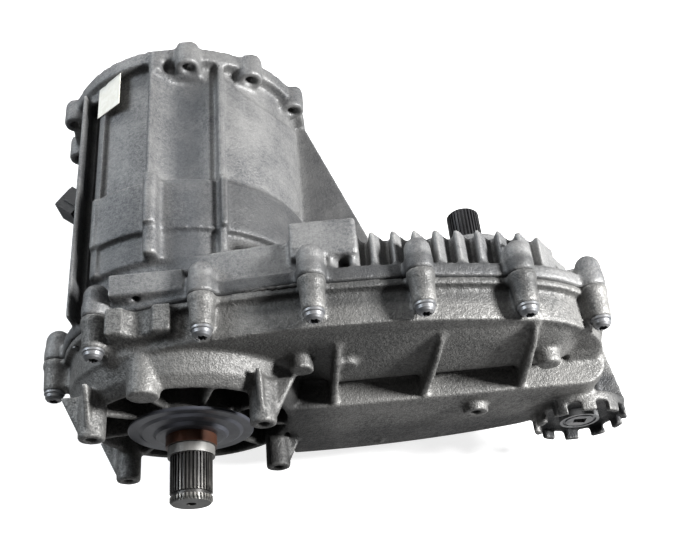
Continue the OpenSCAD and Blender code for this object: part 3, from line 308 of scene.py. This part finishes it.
def machinedMetal(name, ownLook):
    look = {**plainSurface, **ownLook}
    material, tree, shader, place = startMaterial(name)
    marks = useGroup(tree, toolMarks, place,
                     {"Line Scale": look["lineScale"], "Cloud Scale": look["cloudScale"]})
    base = mixColours(tree, marks.outputs["Clouds"], look["dark"], look["light"])
    # Edges take a brighter colour: worn metal with a painted highlight, as on the spline crests.
    if look["rubAndSheen"] > 0:
        wearAndShading = useGroup(tree, wearSheenAndShade, place,
                        {"Edge Start": look["edgeStart"], "Edge End": look["edgeEnd"],
                         "Break Up": look["breakUp"]})
        rubAndSheen = mathNode(tree, "MULTIPLY", wearAndShading.outputs["Edge"], look["rubAndSheen"])
        base = mixColours(tree, rubAndSheen, base, look["bright"])
    if look["bands"]:
        split = addNode(tree, "ShaderNodeSeparateXYZ")
        feed(tree, split.inputs[0], place)
        along, edge = split.outputs[1], look["bandEdge"]
        for rearY, frontY, tint in look["bands"]:
            band = mathNode(tree, "MULTIPLY", rangeNode(tree, along, rearY, rearY + edge),
                            rangeNode(tree, along, frontY, frontY - edge))
            base = mixColours(tree, band, base, tint)
    feed(tree, shader.inputs["Base Color"], base)
    feed(tree, shader.inputs["Metallic"], look["metallic"])
    feed(tree, shader.inputs["Roughness"],
         rangeNode(tree, marks.outputs["Clouds"], 0.0, 1.0,
                   look["rough"] + look["roughSwing"], look["rough"] - look["roughSwing"]))
    addBump(tree, shader, marks.outputs["Lines"], look["bump"], look["bumpDistance"])
    return material


frontCast = castMetal("frontCastSkin", {
    "dark": (0.070, 0.072, 0.076), "light": (0.165, 0.165, 0.163), "grain": (0.30, 0.297, 0.29),
    "speckle": 0.42, "dirtAndShade": (0.045, 0.044, 0.043), "grimeAndShade": 0.7, "bright": (0.50, 0.495, 0.48),
    "rubAndSheen": 0.8, "metallic": 0.45, "rough": 0.55, "gritScale": 850.0, "stainScale": 24.0,
    "edgeStart": 0.53, "edgeEnd": 0.62, "bump": 0.55,
    "paintedShades": [
        # trough along the top of the barrel: painted shade from the ridge, with some real dark
        # stain
        {"low": (0.0, -0.30, 0.07), "high": (0.030, -0.03, 0.115), "soft": (0.007, 0.02, 0.01),
         "amount": 0.62, "tint": (0.035, 0.040, 0.048)},
        # channel beside the fence: painted shadow in the channel, over a darker own colour
        {"low": (-0.096, -0.30, 0.0), "high": (-0.058, -0.02, 0.085), "soft": (0.004, 0.02, 0.01),
         "amount": 0.55, "tint": (0.05, 0.052, 0.056)},
        # band on the right of the barrel: painted shadow below the end of the raised panel
        {"low": (0.030, -0.196, 0.0), "high": (0.112, -0.141, 0.115), "soft": (0.01, 0.006, 0.02),
         "amount": 0.72, "tint": (0.035, 0.036, 0.038)},
        # edge of the flange: painted shade in the recess at the flange neck
        {"low": (0.030, -0.262, 0.05), "high": (0.300, -0.245, 0.140), "soft": (0.02, 0.003, 0.02),
         "amount": 0.75, "tint": (0.024, 0.025, 0.027)},
        # side web, made darker all over
        {"low": (0.108, -0.21, -0.01), "high": (0.210, 0.01, 0.012), "soft": (0.006, 0.01, 0.006),
         "amount": 0.6, "tint": (0.04, 0.04, 0.042)},
        # rear half of the label panel: painted shade, as the panel faces away from the key light
        {"low": (-0.060, -0.24, 0.06), "high": (-0.020, -0.16, 0.115), "soft": (0.01, 0.03, 0.01),
         "amount": 0.5, "tint": (0.05, 0.052, 0.056)}]})
rearCast = castMetal("rearCastSkin", {
    "dark": (0.052, 0.052, 0.051), "light": (0.130, 0.128, 0.123), "grain": (0.29, 0.285, 0.275),
    "speckle": 0.46, "dirtAndShade": (0.04, 0.039, 0.038), "grimeAndShade": 0.7, "bright": (0.48, 0.475, 0.46),
    "rubAndSheen": 0.7, "metallic": 0.45, "rough": 0.55, "gritScale": 720.0, "stainScale": 20.0,
    "edgeStart": 0.53, "edgeEnd": 0.62, "bump": 0.7,
    "paintedShades": [
        # lower wall: painted shade, as the wall faces away from the lamps
        {"low": (0.07, -0.320, -0.16), "high": (0.335, -0.262, -0.042),
         "soft": (0.03, 0.01, 0.012), "amount": 0.88, "tint": (0.016, 0.016, 0.018)},
        # bell round the output: painted shade below the ledge
        {"low": (-0.05, -0.350, -0.10), "high": (0.110, -0.266, 0.050),
         "soft": (0.015, 0.01, 0.02), "amount": 0.88, "tint": (0.024, 0.024, 0.024)},
        # drain guard: painted shade on its face
        {"low": (0.300, -0.350, -0.16), "high": (0.380, -0.285, -0.015),
         "soft": (0.008, 0.01, 0.01), "amount": 0.95, "tint": (0.022, 0.023, 0.025)},
        # edge of the flange, made darker
        {"low": (0.060, -0.276, 0.06), "high": (0.300, -0.258, 0.140),
         "soft": (0.02, 0.003, 0.02), "amount": 0.6, "tint": (0.028, 0.029, 0.030)},
        # upper wall above the bell, made darker
        {"low": (0.020, -0.320, 0.01), "high": (0.190, -0.262, 0.110),
         "soft": (0.05, 0.02, 0.02), "amount": 0.5, "tint": (0.040, 0.040, 0.040)}]})
smallCast = castMetal("smallCastSkin", {
    "dark": (0.15, 0.149, 0.146), "light": (0.23, 0.228, 0.222), "grain": (0.34, 0.335, 0.325),
    "speckle": 0.4, "dirtAndShade": (0.05, 0.049, 0.047), "grimeAndShade": 0.5, "bright": (0.42, 0.41, 0.40),
    "rubAndSheen": 0.3, "metallic": 0.5, "rough": 0.5, "gritScale": 900.0, "stainScale": 30.0,
    "edgeStart": 0.53, "edgeEnd": 0.62, "bump": 0.4})
zincPlate = machinedMetal("zincPlate", {
    "dark": (0.13, 0.135, 0.145), "light": (0.24, 0.24, 0.245), "metallic": 0.8, "rough": 0.46,
    "cloudScale": 140.0, "rubAndSheen": 0.25, "bright": (0.46, 0.46, 0.45), "bump": 0.06})
gearSteel = machinedMetal("gearSteel", {
    "dark": (0.30, 0.295, 0.29), "light": (0.42, 0.415, 0.41), "metallic": 0.95, "rough": 0.34,
    "rubAndSheen": 0.5, "bright": (0.62, 0.61, 0.60)})
# The bands are the rusty collar, the polished ring ahead of the spline and the shaft's end.
shaftSteel = machinedMetal("shaftSteel", {
    "dark": (0.016, 0.0155, 0.015), "light": (0.045, 0.043, 0.041), "metallic": 0.6,
    "rough": 0.42, "rubAndSheen": 0.8, "bright": (0.26, 0.25, 0.23), "edgeEnd": 0.58,
    "bands": [(-0.3352, -0.3255, (0.075, 0.030, 0.017)),
              (-0.3432, -0.3352, (0.24, 0.235, 0.225)),
              (-0.382, -0.378, (0.11, 0.108, 0.102))]})
blackOxide = machinedMetal("blackOxide", {
    "dark": (0.022, 0.022, 0.023), "light": (0.05, 0.05, 0.052), "metallic": 0.7, "rough": 0.42,
    "rubAndSheen": 0.5, "bright": (0.26, 0.26, 0.26)})
satinBlack = machinedMetal("satinBlack", {
    "dark": (0.036, 0.038, 0.046), "light": (0.062, 0.065, 0.078), "metallic": 0.3, "rough": 0.36,
    "bump": 0.1, "cloudScale": 30.0})
bearingSteel = machinedMetal("bearingSteel", {
    "dark": (0.48, 0.48, 0.485), "light": (0.58, 0.58, 0.58), "metallic": 1.0, "rough": 0.2})
stampedSteel = machinedMetal("stampedSteel", {
    "dark": (0.25, 0.25, 0.255), "light": (0.36, 0.36, 0.36), "metallic": 0.9, "rough": 0.4})
frictionPaper = machinedMetal("frictionPaper", {
    "dark": (0.10, 0.07, 0.045), "light": (0.16, 0.115, 0.075), "metallic": 0.0, "rough": 0.8})
chainSteel = machinedMetal("chainSteel", {
    "dark": (0.09, 0.09, 0.10), "light": (0.17, 0.17, 0.18), "metallic": 0.9, "rough": 0.36,
    "rubAndSheen": 0.5, "bright": (0.45, 0.45, 0.45)})
sealRubber = machinedMetal("sealRubber", {
    "dark": (0.022, 0.021, 0.020), "light": (0.04, 0.038, 0.036), "metallic": 0.0, "rough": 0.6})
sealPale = machinedMetal("sealPale", {
    "dark": (0.36, 0.35, 0.33), "light": (0.50, 0.49, 0.46), "metallic": 0.4, "rough": 0.45})
blackPlastic = machinedMetal("blackPlastic", {
    "dark": (0.012, 0.012, 0.013), "light": (0.022, 0.022, 0.023), "metallic": 0.0, "rough": 0.4,
    "bump": 0.3})
toughPlastic = machinedMetal("toughPlastic", {
    "dark": (0.03, 0.03, 0.028), "light": (0.05, 0.05, 0.047), "metallic": 0.0, "rough": 0.5})
magnetGrey = machinedMetal("magnetGrey", {
    "dark": (0.09, 0.09, 0.092), "light": (0.14, 0.14, 0.14), "metallic": 0.5, "rough": 0.5})
print("materials made")

finishes = {
    "front_case": frontCast, "rear_case": rearCast, "case_bolts": zincPlate,
    "dowel_pins": blackOxide, "input_shaft": gearSteel, "input_bearing": bearingSteel,
    "input_seal": sealRubber, "annulus_gear": gearSteel, "planet_carrier": stampedSteel,
    "planet_gear_1": gearSteel, "planet_gear_2": gearSteel, "planet_gear_3": gearSteel,
    "planet_gear_4": gearSteel,
    "planet_pins": bearingSteel, "range_sleeve": gearSteel, "shift_fork": smallCast,
    "shift_rail": bearingSteel, "shift_pinion": gearSteel, "shift_motor": smallCast,
    "shift_connector": blackPlastic, "main_shaft": shaftSteel, "clutch_drum": stampedSteel,
    "clutch_hub": gearSteel, "friction_plates": frictionPaper, "steel_plates": stampedSteel,
    "ball_ramp": gearSteel, "drive_sprocket": gearSteel, "driven_sprocket": gearSteel,
    "chain": chainSteel, "front_output_shaft": blackOxide, "front_bearing": bearingSteel,
    "front_tail_bearing": bearingSteel, "front_seal": sealPale, "rear_bearing": bearingSteel,
    "rear_snap_ring": bearingSteel, "rear_seal": sealRubber, "slinger": satinBlack,
    "pump_body": smallCast, "pump_rotor": gearSteel, "pickup_tube": toughPlastic,
    "pickup_screen": toughPlastic, "sump_magnet": magnetGrey, "drain_plug": zincPlate,
    "fill_plug": zincPlate, "breather": blackPlastic}


def coatNode(name, material):
    data = cadNodes[name].data
    if not data.materials:
        data.materials.append(material)
    for index in range(len(data.materials)):
        data.materials[index] = material


for nodeName, finish in finishes.items():
    coatNode(nodeName, finish)
missing = [name for name in cadNodes if name not in finishes]
print("nodes coated:", len(finishes), "without a finish:", missing)


# A closed slab: a grid primitive bent by a rule of two numbers from 0 to 1, then given depth.
def bentSlab(name, grid, rule, depth):
    deselectAll()
    bpy.ops.mesh.primitive_grid_add(x_subdivisions=grid[0], y_subdivisions=grid[1], size=1.0)
    slab = bpy.context.active_object
    slab.name = name
    for vertex in slab.data.vertices:
        vertex.co = Vector(rule(vertex.co.x + 0.5, vertex.co.y + 0.5))
    thick = slab.modifiers.new("depth", "SOLIDIFY")
    thick.thickness = depth
    thick.offset = 0.0
    applyModifiers(slab)
    bpy.ops.object.mode_set(mode="EDIT")
    bpy.ops.mesh.select_all(action="SELECT")
    bpy.ops.mesh.normals_make_consistent(inside=False)
    bpy.ops.object.mode_set(mode="OBJECT")
    return slab


# Raised panel on the right of the barrel, with a slanted front end and a soft dent along it.
# The ends are Y for each angle round the barrel, counted from +X.
barrelPanel = {"fromDegrees": 8.0, "toDegrees": 64.5, "radius": 0.1045, "depth": 0.0045,
               "grid": (48, 48), "dentDegrees": 52.0, "dentWidth": 2.2, "dentDepth": 0.0007,
               "frontEnd": [(3.0, -0.026), (27.0, -0.042), (40.5, -0.043), (54.0, -0.036),
                            (59.5, -0.030), (65.0, -0.021)],
               "rearEnd": [(3.0, -0.128), (13.0, -0.129), (20.0, -0.137), (65.0, -0.139)]}


def panelPlace(u, v):
    look = barrelPanel
    degrees = look["fromDegrees"] + u * (look["toDegrees"] - look["fromDegrees"])
    front, rear = between(look["frontEnd"], degrees), between(look["rearEnd"], degrees)
    dent = math.exp(-((degrees - look["dentDegrees"]) / look["dentWidth"]) ** 2)
    radius = look["radius"] - look["dentDepth"] * dent
    angle = math.radians(degrees)
    return radius * math.cos(angle), rear + v * (front - rear), radius * math.sin(angle)


rightPanel = bentSlab("rightPanel", barrelPanel["grid"], panelPlace, barrelPanel["depth"])

# Slanted plate between the last boss and the drain guard, by its corners.
guardPlate = {"front": [(0.352, -0.262, -0.034), (0.3625, -0.262, -0.034)],
              "rear": [(0.350, -0.316, -0.036), (0.3712, -0.3165, -0.036)],
              "grid": (8, 8), "depth": 0.004}


def platePlace(u, v):
    frontLeft, frontRight = [Vector(corner) for corner in guardPlate["front"]]
    rearLeft, rearRight = [Vector(corner) for corner in guardPlate["rear"]]
    return frontLeft.lerp(frontRight, u).lerp(rearLeft.lerp(rearRight, u), v)


slantedPlate = bentSlab("slantedPlate", guardPlate["grid"], platePlace, guardPlate["depth"])

# A cast rib under the ledge and a small lump at the lower edge, from one point to another.
ribLook = {"height": 0.012, "grid": (12, 6),
           "ribs": [{"from": (0.2545, -0.3095, -0.088), "to": (0.2860, -0.2900, -0.070),
                     "depth": 0.0035},
                    {"from": (0.1560, -0.3190, -0.080), "to": (0.1665, -0.3140, -0.084),
                     "depth": 0.009}]}


def makeRib(rib):
    first, last = Vector(rib["from"]), Vector(rib["to"])

    def ribPlace(u, v):
        return first.lerp(last, u) + Vector((0.0, ribLook["height"] * v, 0.0))

    return bentSlab("castRib", ribLook["grid"], ribPlace, rib["depth"])


castRibs = [makeRib(rib) for rib in ribLook["ribs"]]

# The upper rear wall swells above the ledge. It starts at a height that changes along X, its
# lower part has fixed heights, and the steps say how far it stands out on the way down.
swell = {"fromX": 0.100, "toX": 0.322, "wallY": -0.2905, "innerY": -0.2885,
         "grid": (60, 40), "gridDepth": 0.004, "leftEase": 0.028, "rightEase": 0.022,
         "slopeEnd": 0.7, "slopeEndZ": 0.034,
         "starts": [(0.100, 0.1045), (0.175, 0.099), (0.254, 0.093), (0.282, 0.088),
                    (0.300, 0.079), (0.318, 0.063), (0.330, 0.045)],
         "steps": [(0.0, -0.0016), (0.12, 0.0012), (0.7, 0.0095), (0.8, 0.0095), (0.9, 0.006),
                   (1.0, 0.0)],
         "heights": [(0.7, 0.034), (0.8, 0.027), (0.9, 0.020), (1.0, 0.013)]}


def swellPlace(u, v):
    x = swell["fromX"] + u * (swell["toX"] - swell["fromX"])
    start = between(swell["starts"], x)
    if v < swell["slopeEnd"]:
        height = start + (swell["slopeEndZ"] - start) * v / swell["slopeEnd"]
    else:
        height = between(swell["heights"], v)
    ends = max(0.0, min(1.0, (x - swell["fromX"]) / swell["leftEase"],
                        (swell["toX"] - x) / swell["rightEase"]))
    step = between(swell["steps"], v)
    if step > 0:
        step *= ends * ends * (3.0 - 2.0 * ends)
    return x, swell["wallY"] - step, height


wallSwell = bentSlab("wallSwell", swell["grid"], swellPlace, swell["gridDepth"])

# Its two skins are set apart again: the rear one on the rule, the inner one flat in the wall.
half = len(wallSwell.data.vertices) // 2
for index in range(half):
    skins = [wallSwell.data.vertices[index], wallSwell.data.vertices[index + half]]
    rearSkin, innerSkin = sorted(skins, key=lambda vertex: vertex.co.y)
    x, y, z = [(rearSkin.co[axis] + innerSkin.co[axis]) / 2 for axis in range(3)]
    rearSkin.co, innerSkin.co = (x, y, z), (x, swell["innerY"], z)

# Rear boss of the bolt above the bell, tapered to the rear, with its web to the wall.
bellBoss = {"x": -0.056, "z": 0.095, "frontY": -0.2585, "rearY": -0.285, "radius": 0.0104,
            "rearRadius": 0.0088, "sides": 64, "webReach": 0.024, "webDepth": 0.0148,
            "webRearGap": 0.002, "webLoss": 0.003, "webGrid": (12, 12)}
bossLength = bellBoss["frontY"] - bellBoss["rearY"]
bossMiddleY = (bellBoss["frontY"] + bellBoss["rearY"]) / 2
deselectAll()
bpy.ops.mesh.primitive_cylinder_add(
    vertices=bellBoss["sides"], radius=bellBoss["radius"], depth=bossLength,
    location=(bellBoss["x"], bossMiddleY, bellBoss["z"]), rotation=(math.pi / 2, 0.0, 0.0))
bossRod = bpy.context.active_object
bossRod.name = "bossRod"
bakePlace(bossRod)
squeeze = bellBoss["rearRadius"] / bellBoss["radius"]
for vertex in bossRod.data.vertices:
    if vertex.co.y < bossMiddleY:
        vertex.co.x = bellBoss["x"] + (vertex.co.x - bellBoss["x"]) * squeeze
        vertex.co.z = bellBoss["z"] + (vertex.co.z - bellBoss["z"]) * squeeze


def webPlace(u, v):
    inward = Vector((-bellBoss["x"], 0.0, -bellBoss["z"])).normalized()
    inward = inward * bellBoss["webReach"] * u
    y = bellBoss["rearY"] + bellBoss["webRearGap"] + v * (bossLength - bellBoss["webLoss"])
    return bellBoss["x"] + inward.x, y, bellBoss["z"] + inward.z


bossWeb = bentSlab("bossWeb", bellBoss["webGrid"], webPlace, bellBoss["webDepth"])
print("cast additions made")


# A casting as one skin with cast fillets: the node's own shape and its additions, remeshed
# and eased.
def castingFrom(nodeName, pieceName, shape, material):
    source = cadNodes[nodeName]
    piece = bpy.data.objects.new(pieceName, source.data.copy())
    bpy.context.scene.collection.objects.link(piece)
    piece.matrix_world = source.matrix_world.copy()
    pick(piece)
    bpy.ops.object.mode_set(mode="EDIT")
    bpy.ops.mesh.select_all(action="SELECT")
    bpy.ops.mesh.remove_doubles(threshold=shape["weld"])
    bpy.ops.object.mode_set(mode="OBJECT")
    for addition in shape["additions"]:
        addition.select_set(True)
    bpy.ops.object.join()
    remesh = piece.modifiers.new("cast", "REMESH")
    remesh.mode = "VOXEL"
    remesh.voxel_size = shape["voxel"]
    ease = piece.modifiers.new("ease", "SMOOTH")
    ease.factor = shape["easeFactor"]
    ease.iterations = shape["ease"]
    thin = piece.modifiers.new("thin", "DECIMATE")
    thin.ratio = 1.0
    applyModifiers(piece, keepLast=1)
    faces = len(piece.data.polygons)
    thin.ratio = min(1.0, shape["triangles"] / (2.0 * faces))
    applyModifiers(piece)
    bpy.ops.object.shade_smooth()
    piece.data.materials.clear()
    piece.data.materials.append(material)
    print(pieceName, "remeshed faces", faces, "kept", len(piece.data.polygons))
    return piece


frontCastingShape = {"weld": 2e-6, "voxel": 0.0019, "ease": 4, "easeFactor": 0.5,
                     "triangles": 195000, "additions": [rightPanel]}
frontCasting = castingFrom("front_case", "frontCasting", frontCastingShape, frontCast)
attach(frontCasting, "housing")
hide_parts("front_case")
rearCastingShape = {"weld": 2e-6, "voxel": 0.0017, "ease": 4, "easeFactor": 0.5,
                    "triangles": 195000,
                    "additions": [slantedPlate, wallSwell, bossRod, bossWeb] + castRibs}
rearCasting = castingFrom("rear_case", "rearCasting", rearCastingShape, rearCast)
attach(rearCasting, "housing")
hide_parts("rear_case")
print("castings made")

# Blank paper label on the flat panel of the barrel.
label = {"panel": 0.1089, "turnDegrees": 37.0, "sides": (-0.004, 0.026),
         "ends": (-0.049, -0.010), "grid": (6, 8), "depth": 0.0005, "dark": (0.72, 0.70, 0.62),
         "light": (0.80, 0.785, 0.72), "rough": 0.55, "cloudScale": 160.0, "cloudDetail": 4.0,
         "cloudRange": (0.4, 0.62), "fibreScale": 500.0, "fibreDetail": 2.0, "bump": 0.1,
         "bumpDistance": 0.0002}


def makeLabelPaper():
    material, tree, shader, place = startMaterial("labelPaper")
    slow = noiseNode(tree, place, label["cloudScale"], label["cloudDetail"])
    clouds = rangeNode(tree, slow, *label["cloudRange"])
    feed(tree, shader.inputs["Base Color"],
         mixColours(tree, clouds, label["dark"], label["light"]))
    feed(tree, shader.inputs["Roughness"], label["rough"])
    fibres = noiseNode(tree, place, label["fibreScale"], label["fibreDetail"])
    addBump(tree, shader, fibres, label["bump"], label["bumpDistance"])
    return material


def labelPlace(u, v):
    turn = math.radians(label["turnDegrees"])
    side = label["sides"][0] + u * (label["sides"][1] - label["sides"][0])
    y = label["ends"][0] + v * (label["ends"][1] - label["ends"][0])
    return (label["panel"] * -math.sin(turn) + side * math.cos(turn), y,
            label["panel"] * math.cos(turn) + side * math.sin(turn))


labelPlate = bentSlab("labelPlate", label["grid"], labelPlace, label["depth"])
labelPlate.data.materials.append(makeLabelPaper())
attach(labelPlate, "housing")

# Black sealant pressed out of the joint above the barrel. The path gives Z for each X.
bead = {"path": [(0.034, 0.1065), (0.043, 0.1095), (0.052, 0.1110), (0.062, 0.1140),
                 (0.073, 0.1170), (0.085, 0.1185), (0.096, 0.1190), (0.103, 0.1192)],
        "jointY": -0.258, "wander": 0.0006, "thickness": (0.6, 1.35), "radius": 0.0015,
        "seed": 11, "pointsPerStep": 4, "rounding": 3}
bpy.ops.curve.primitive_bezier_curve_add()
beadCurve = bpy.context.active_object
beadCurve.data.splines.clear()
beadLine = beadCurve.data.splines.new("POLY")
beadLine.points.add(bead["pointsPerStep"] * (len(bead["path"]) - 1))
beadStart, beadEnd = bead["path"][0][0], bead["path"][-1][0]
random.seed(bead["seed"])
for index, point in enumerate(beadLine.points):
    x = beadStart + (beadEnd - beadStart) * index / (len(beadLine.points) - 1)
    y = bead["jointY"] + random.uniform(-bead["wander"], bead["wander"])
    z = between(bead["path"], x) + random.uniform(-bead["wander"], bead["wander"])
    point.co = (x, y, z, 1.0)
    point.radius = random.uniform(*bead["thickness"])
beadCurve.data.bevel_depth = bead["radius"]
beadCurve.data.bevel_resolution = bead["rounding"]
beadCurve.data.use_fill_caps = True
pick(beadCurve)
bpy.ops.object.convert(target="MESH")
sealBead = bpy.context.active_object
sealBead.name = "sealBead"
bakePlace(sealBead)
bpy.ops.object.shade_smooth()
sealBead.data.materials.clear()
sealBead.data.materials.append(sealRubber)
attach(sealBead, "housing")
print("label and sealant made")

# Pale paper floor. The camera sees it bright, and everything else a darker one.
floorLook = {"size": 12.0, "middleX": 0.15, "gap": 0.001, "bounce": (0.25, 0.25, 0.25),
             "shade": (0.45, 0.45, 0.45), "glow": 0.8}


def makeFloor():
    bpy.ops.mesh.primitive_plane_add(
        size=floorLook["size"], location=(floorLook["middleX"], 0.0, cadLow.z - floorLook["gap"]))
    floor = bpy.context.active_object
    floor.name = "studioFloor"
    material = bpy.data.materials.new("palePaper")
    material.use_nodes = True
    tree = material.node_tree
    tree.nodes.clear()
    out = addNode(tree, "ShaderNodeOutputMaterial")
    unseenPaper = addNode(tree, "ShaderNodeBsdfDiffuse")
    feed(tree, unseenPaper.inputs["Color"], floorLook["bounce"])
    seenPaper = addNode(tree, "ShaderNodeBsdfDiffuse")
    feed(tree, seenPaper.inputs["Color"], floorLook["shade"])
    glow = addNode(tree, "ShaderNodeEmission")
    feed(tree, glow.inputs["Strength"], floorLook["glow"])
    seen = addNode(tree, "ShaderNodeAddShader")
    feed(tree, seen.inputs[0], seenPaper.outputs[0])
    feed(tree, seen.inputs[1], glow.outputs[0])
    choose = addNode(tree, "ShaderNodeMixShader")
    path = addNode(tree, "ShaderNodeLightPath")
    feed(tree, choose.inputs[0], path.outputs["Is Camera Ray"])
    feed(tree, choose.inputs[1], unseenPaper.outputs[0])
    feed(tree, choose.inputs[2], seen.outputs[0])
    feed(tree, out.inputs[0], choose.outputs[0])
    floor.data.materials.append(material)


# A strong key from the right, a cool fill from the left, weak lamps above and ahead.
lampAim = (0.13, -0.19, 0.0)
lamps = {
    "keyLamp": {"place": (1.26, -0.37, 0.76), "power": 70.0, "size": 0.3,
                "colour": (1.0, 1.0, 1.0)},
    "fillLamp": {"place": (-1.25, 0.3, 0.95), "power": 20.0, "size": 0.9,
                 "colour": (0.86, 0.93, 1.0)},
    "topLamp": {"place": (0.1, 0.5, 1.7), "power": 5.0, "size": 1.2,
                "colour": (1.0, 1.0, 1.0)},
    "backLamp": {"place": (-0.6, 1.35, 0.55), "power": 16.0, "size": 0.9,
                 "colour": (1.0, 1.0, 1.0)}}


def makeLamp(name, look):
    lampData = bpy.data.lights.new(name, "AREA")
    lampData.shape = "DISK"
    lampData.size = look["size"]
    lampData.energy = look["power"]
    lampData.color = look["colour"]
    lamp = bpy.data.objects.new(name, lampData)
    bpy.context.scene.collection.objects.link(lamp)
    lamp.location = look["place"]
    aim = Vector(lampAim) - Vector(look["place"])
    lamp.rotation_euler = aim.to_track_quat("-Z", "Y").to_euler()


# The camera as solved from the photograph.
cameraLook = {"place": (0.132, -0.571, 0.678), "ahead": (0.0, 0.491, -0.871),
              "right": (0.996, -0.081, -0.046), "sensor": 36.0, "focalPixels": 860.0,
              "widthPixels": 674.0, "nearest": 0.05}


def makeCamera():
    cameraData = bpy.data.cameras.new("photoCamera")
    cameraData.sensor_width = cameraLook["sensor"]
    cameraData.lens = cameraLook["focalPixels"] / cameraLook["widthPixels"] * cameraLook["sensor"]
    cameraData.clip_start = cameraLook["nearest"]
    camera = bpy.data.objects.new("photoCamera", cameraData)
    bpy.context.scene.collection.objects.link(camera)
    ahead = Vector(cameraLook["ahead"]).normalized()
    right = Vector(cameraLook["right"]).normalized()
    up = right.cross(ahead)
    right = ahead.cross(up)
    place = Matrix((right, up, -ahead)).transposed().to_4x4()
    place.translation = Vector(cameraLook["place"])
    camera.matrix_world = place
    bpy.context.scene.camera = camera


# A white backdrop for the camera, and a weak one for the light.
backdropLook = {"seen": 1.0, "light": 0.10}


def makeWorld():
    world = bpy.data.worlds.new("studioWorld")
    world.use_nodes = True
    tree = world.node_tree
    backdrop = tree.nodes["Background"]
    feed(tree, backdrop.inputs["Color"], (1.0, 1.0, 1.0))
    eyeOnly = addNode(tree, "ShaderNodeLightPath").outputs["Is Camera Ray"]
    feed(tree, backdrop.inputs["Strength"],
         rangeNode(tree, eyeOnly, 0.0, 1.0, backdropLook["light"], backdropLook["seen"]))
    bpy.context.scene.world = world


makeFloor()
makeCamera()
for lampName, lampLook in lamps.items():
    makeLamp(lampName, lampLook)
makeWorld()
bpy.context.scene.view_settings.view_transform = "Standard"
print("studio set")
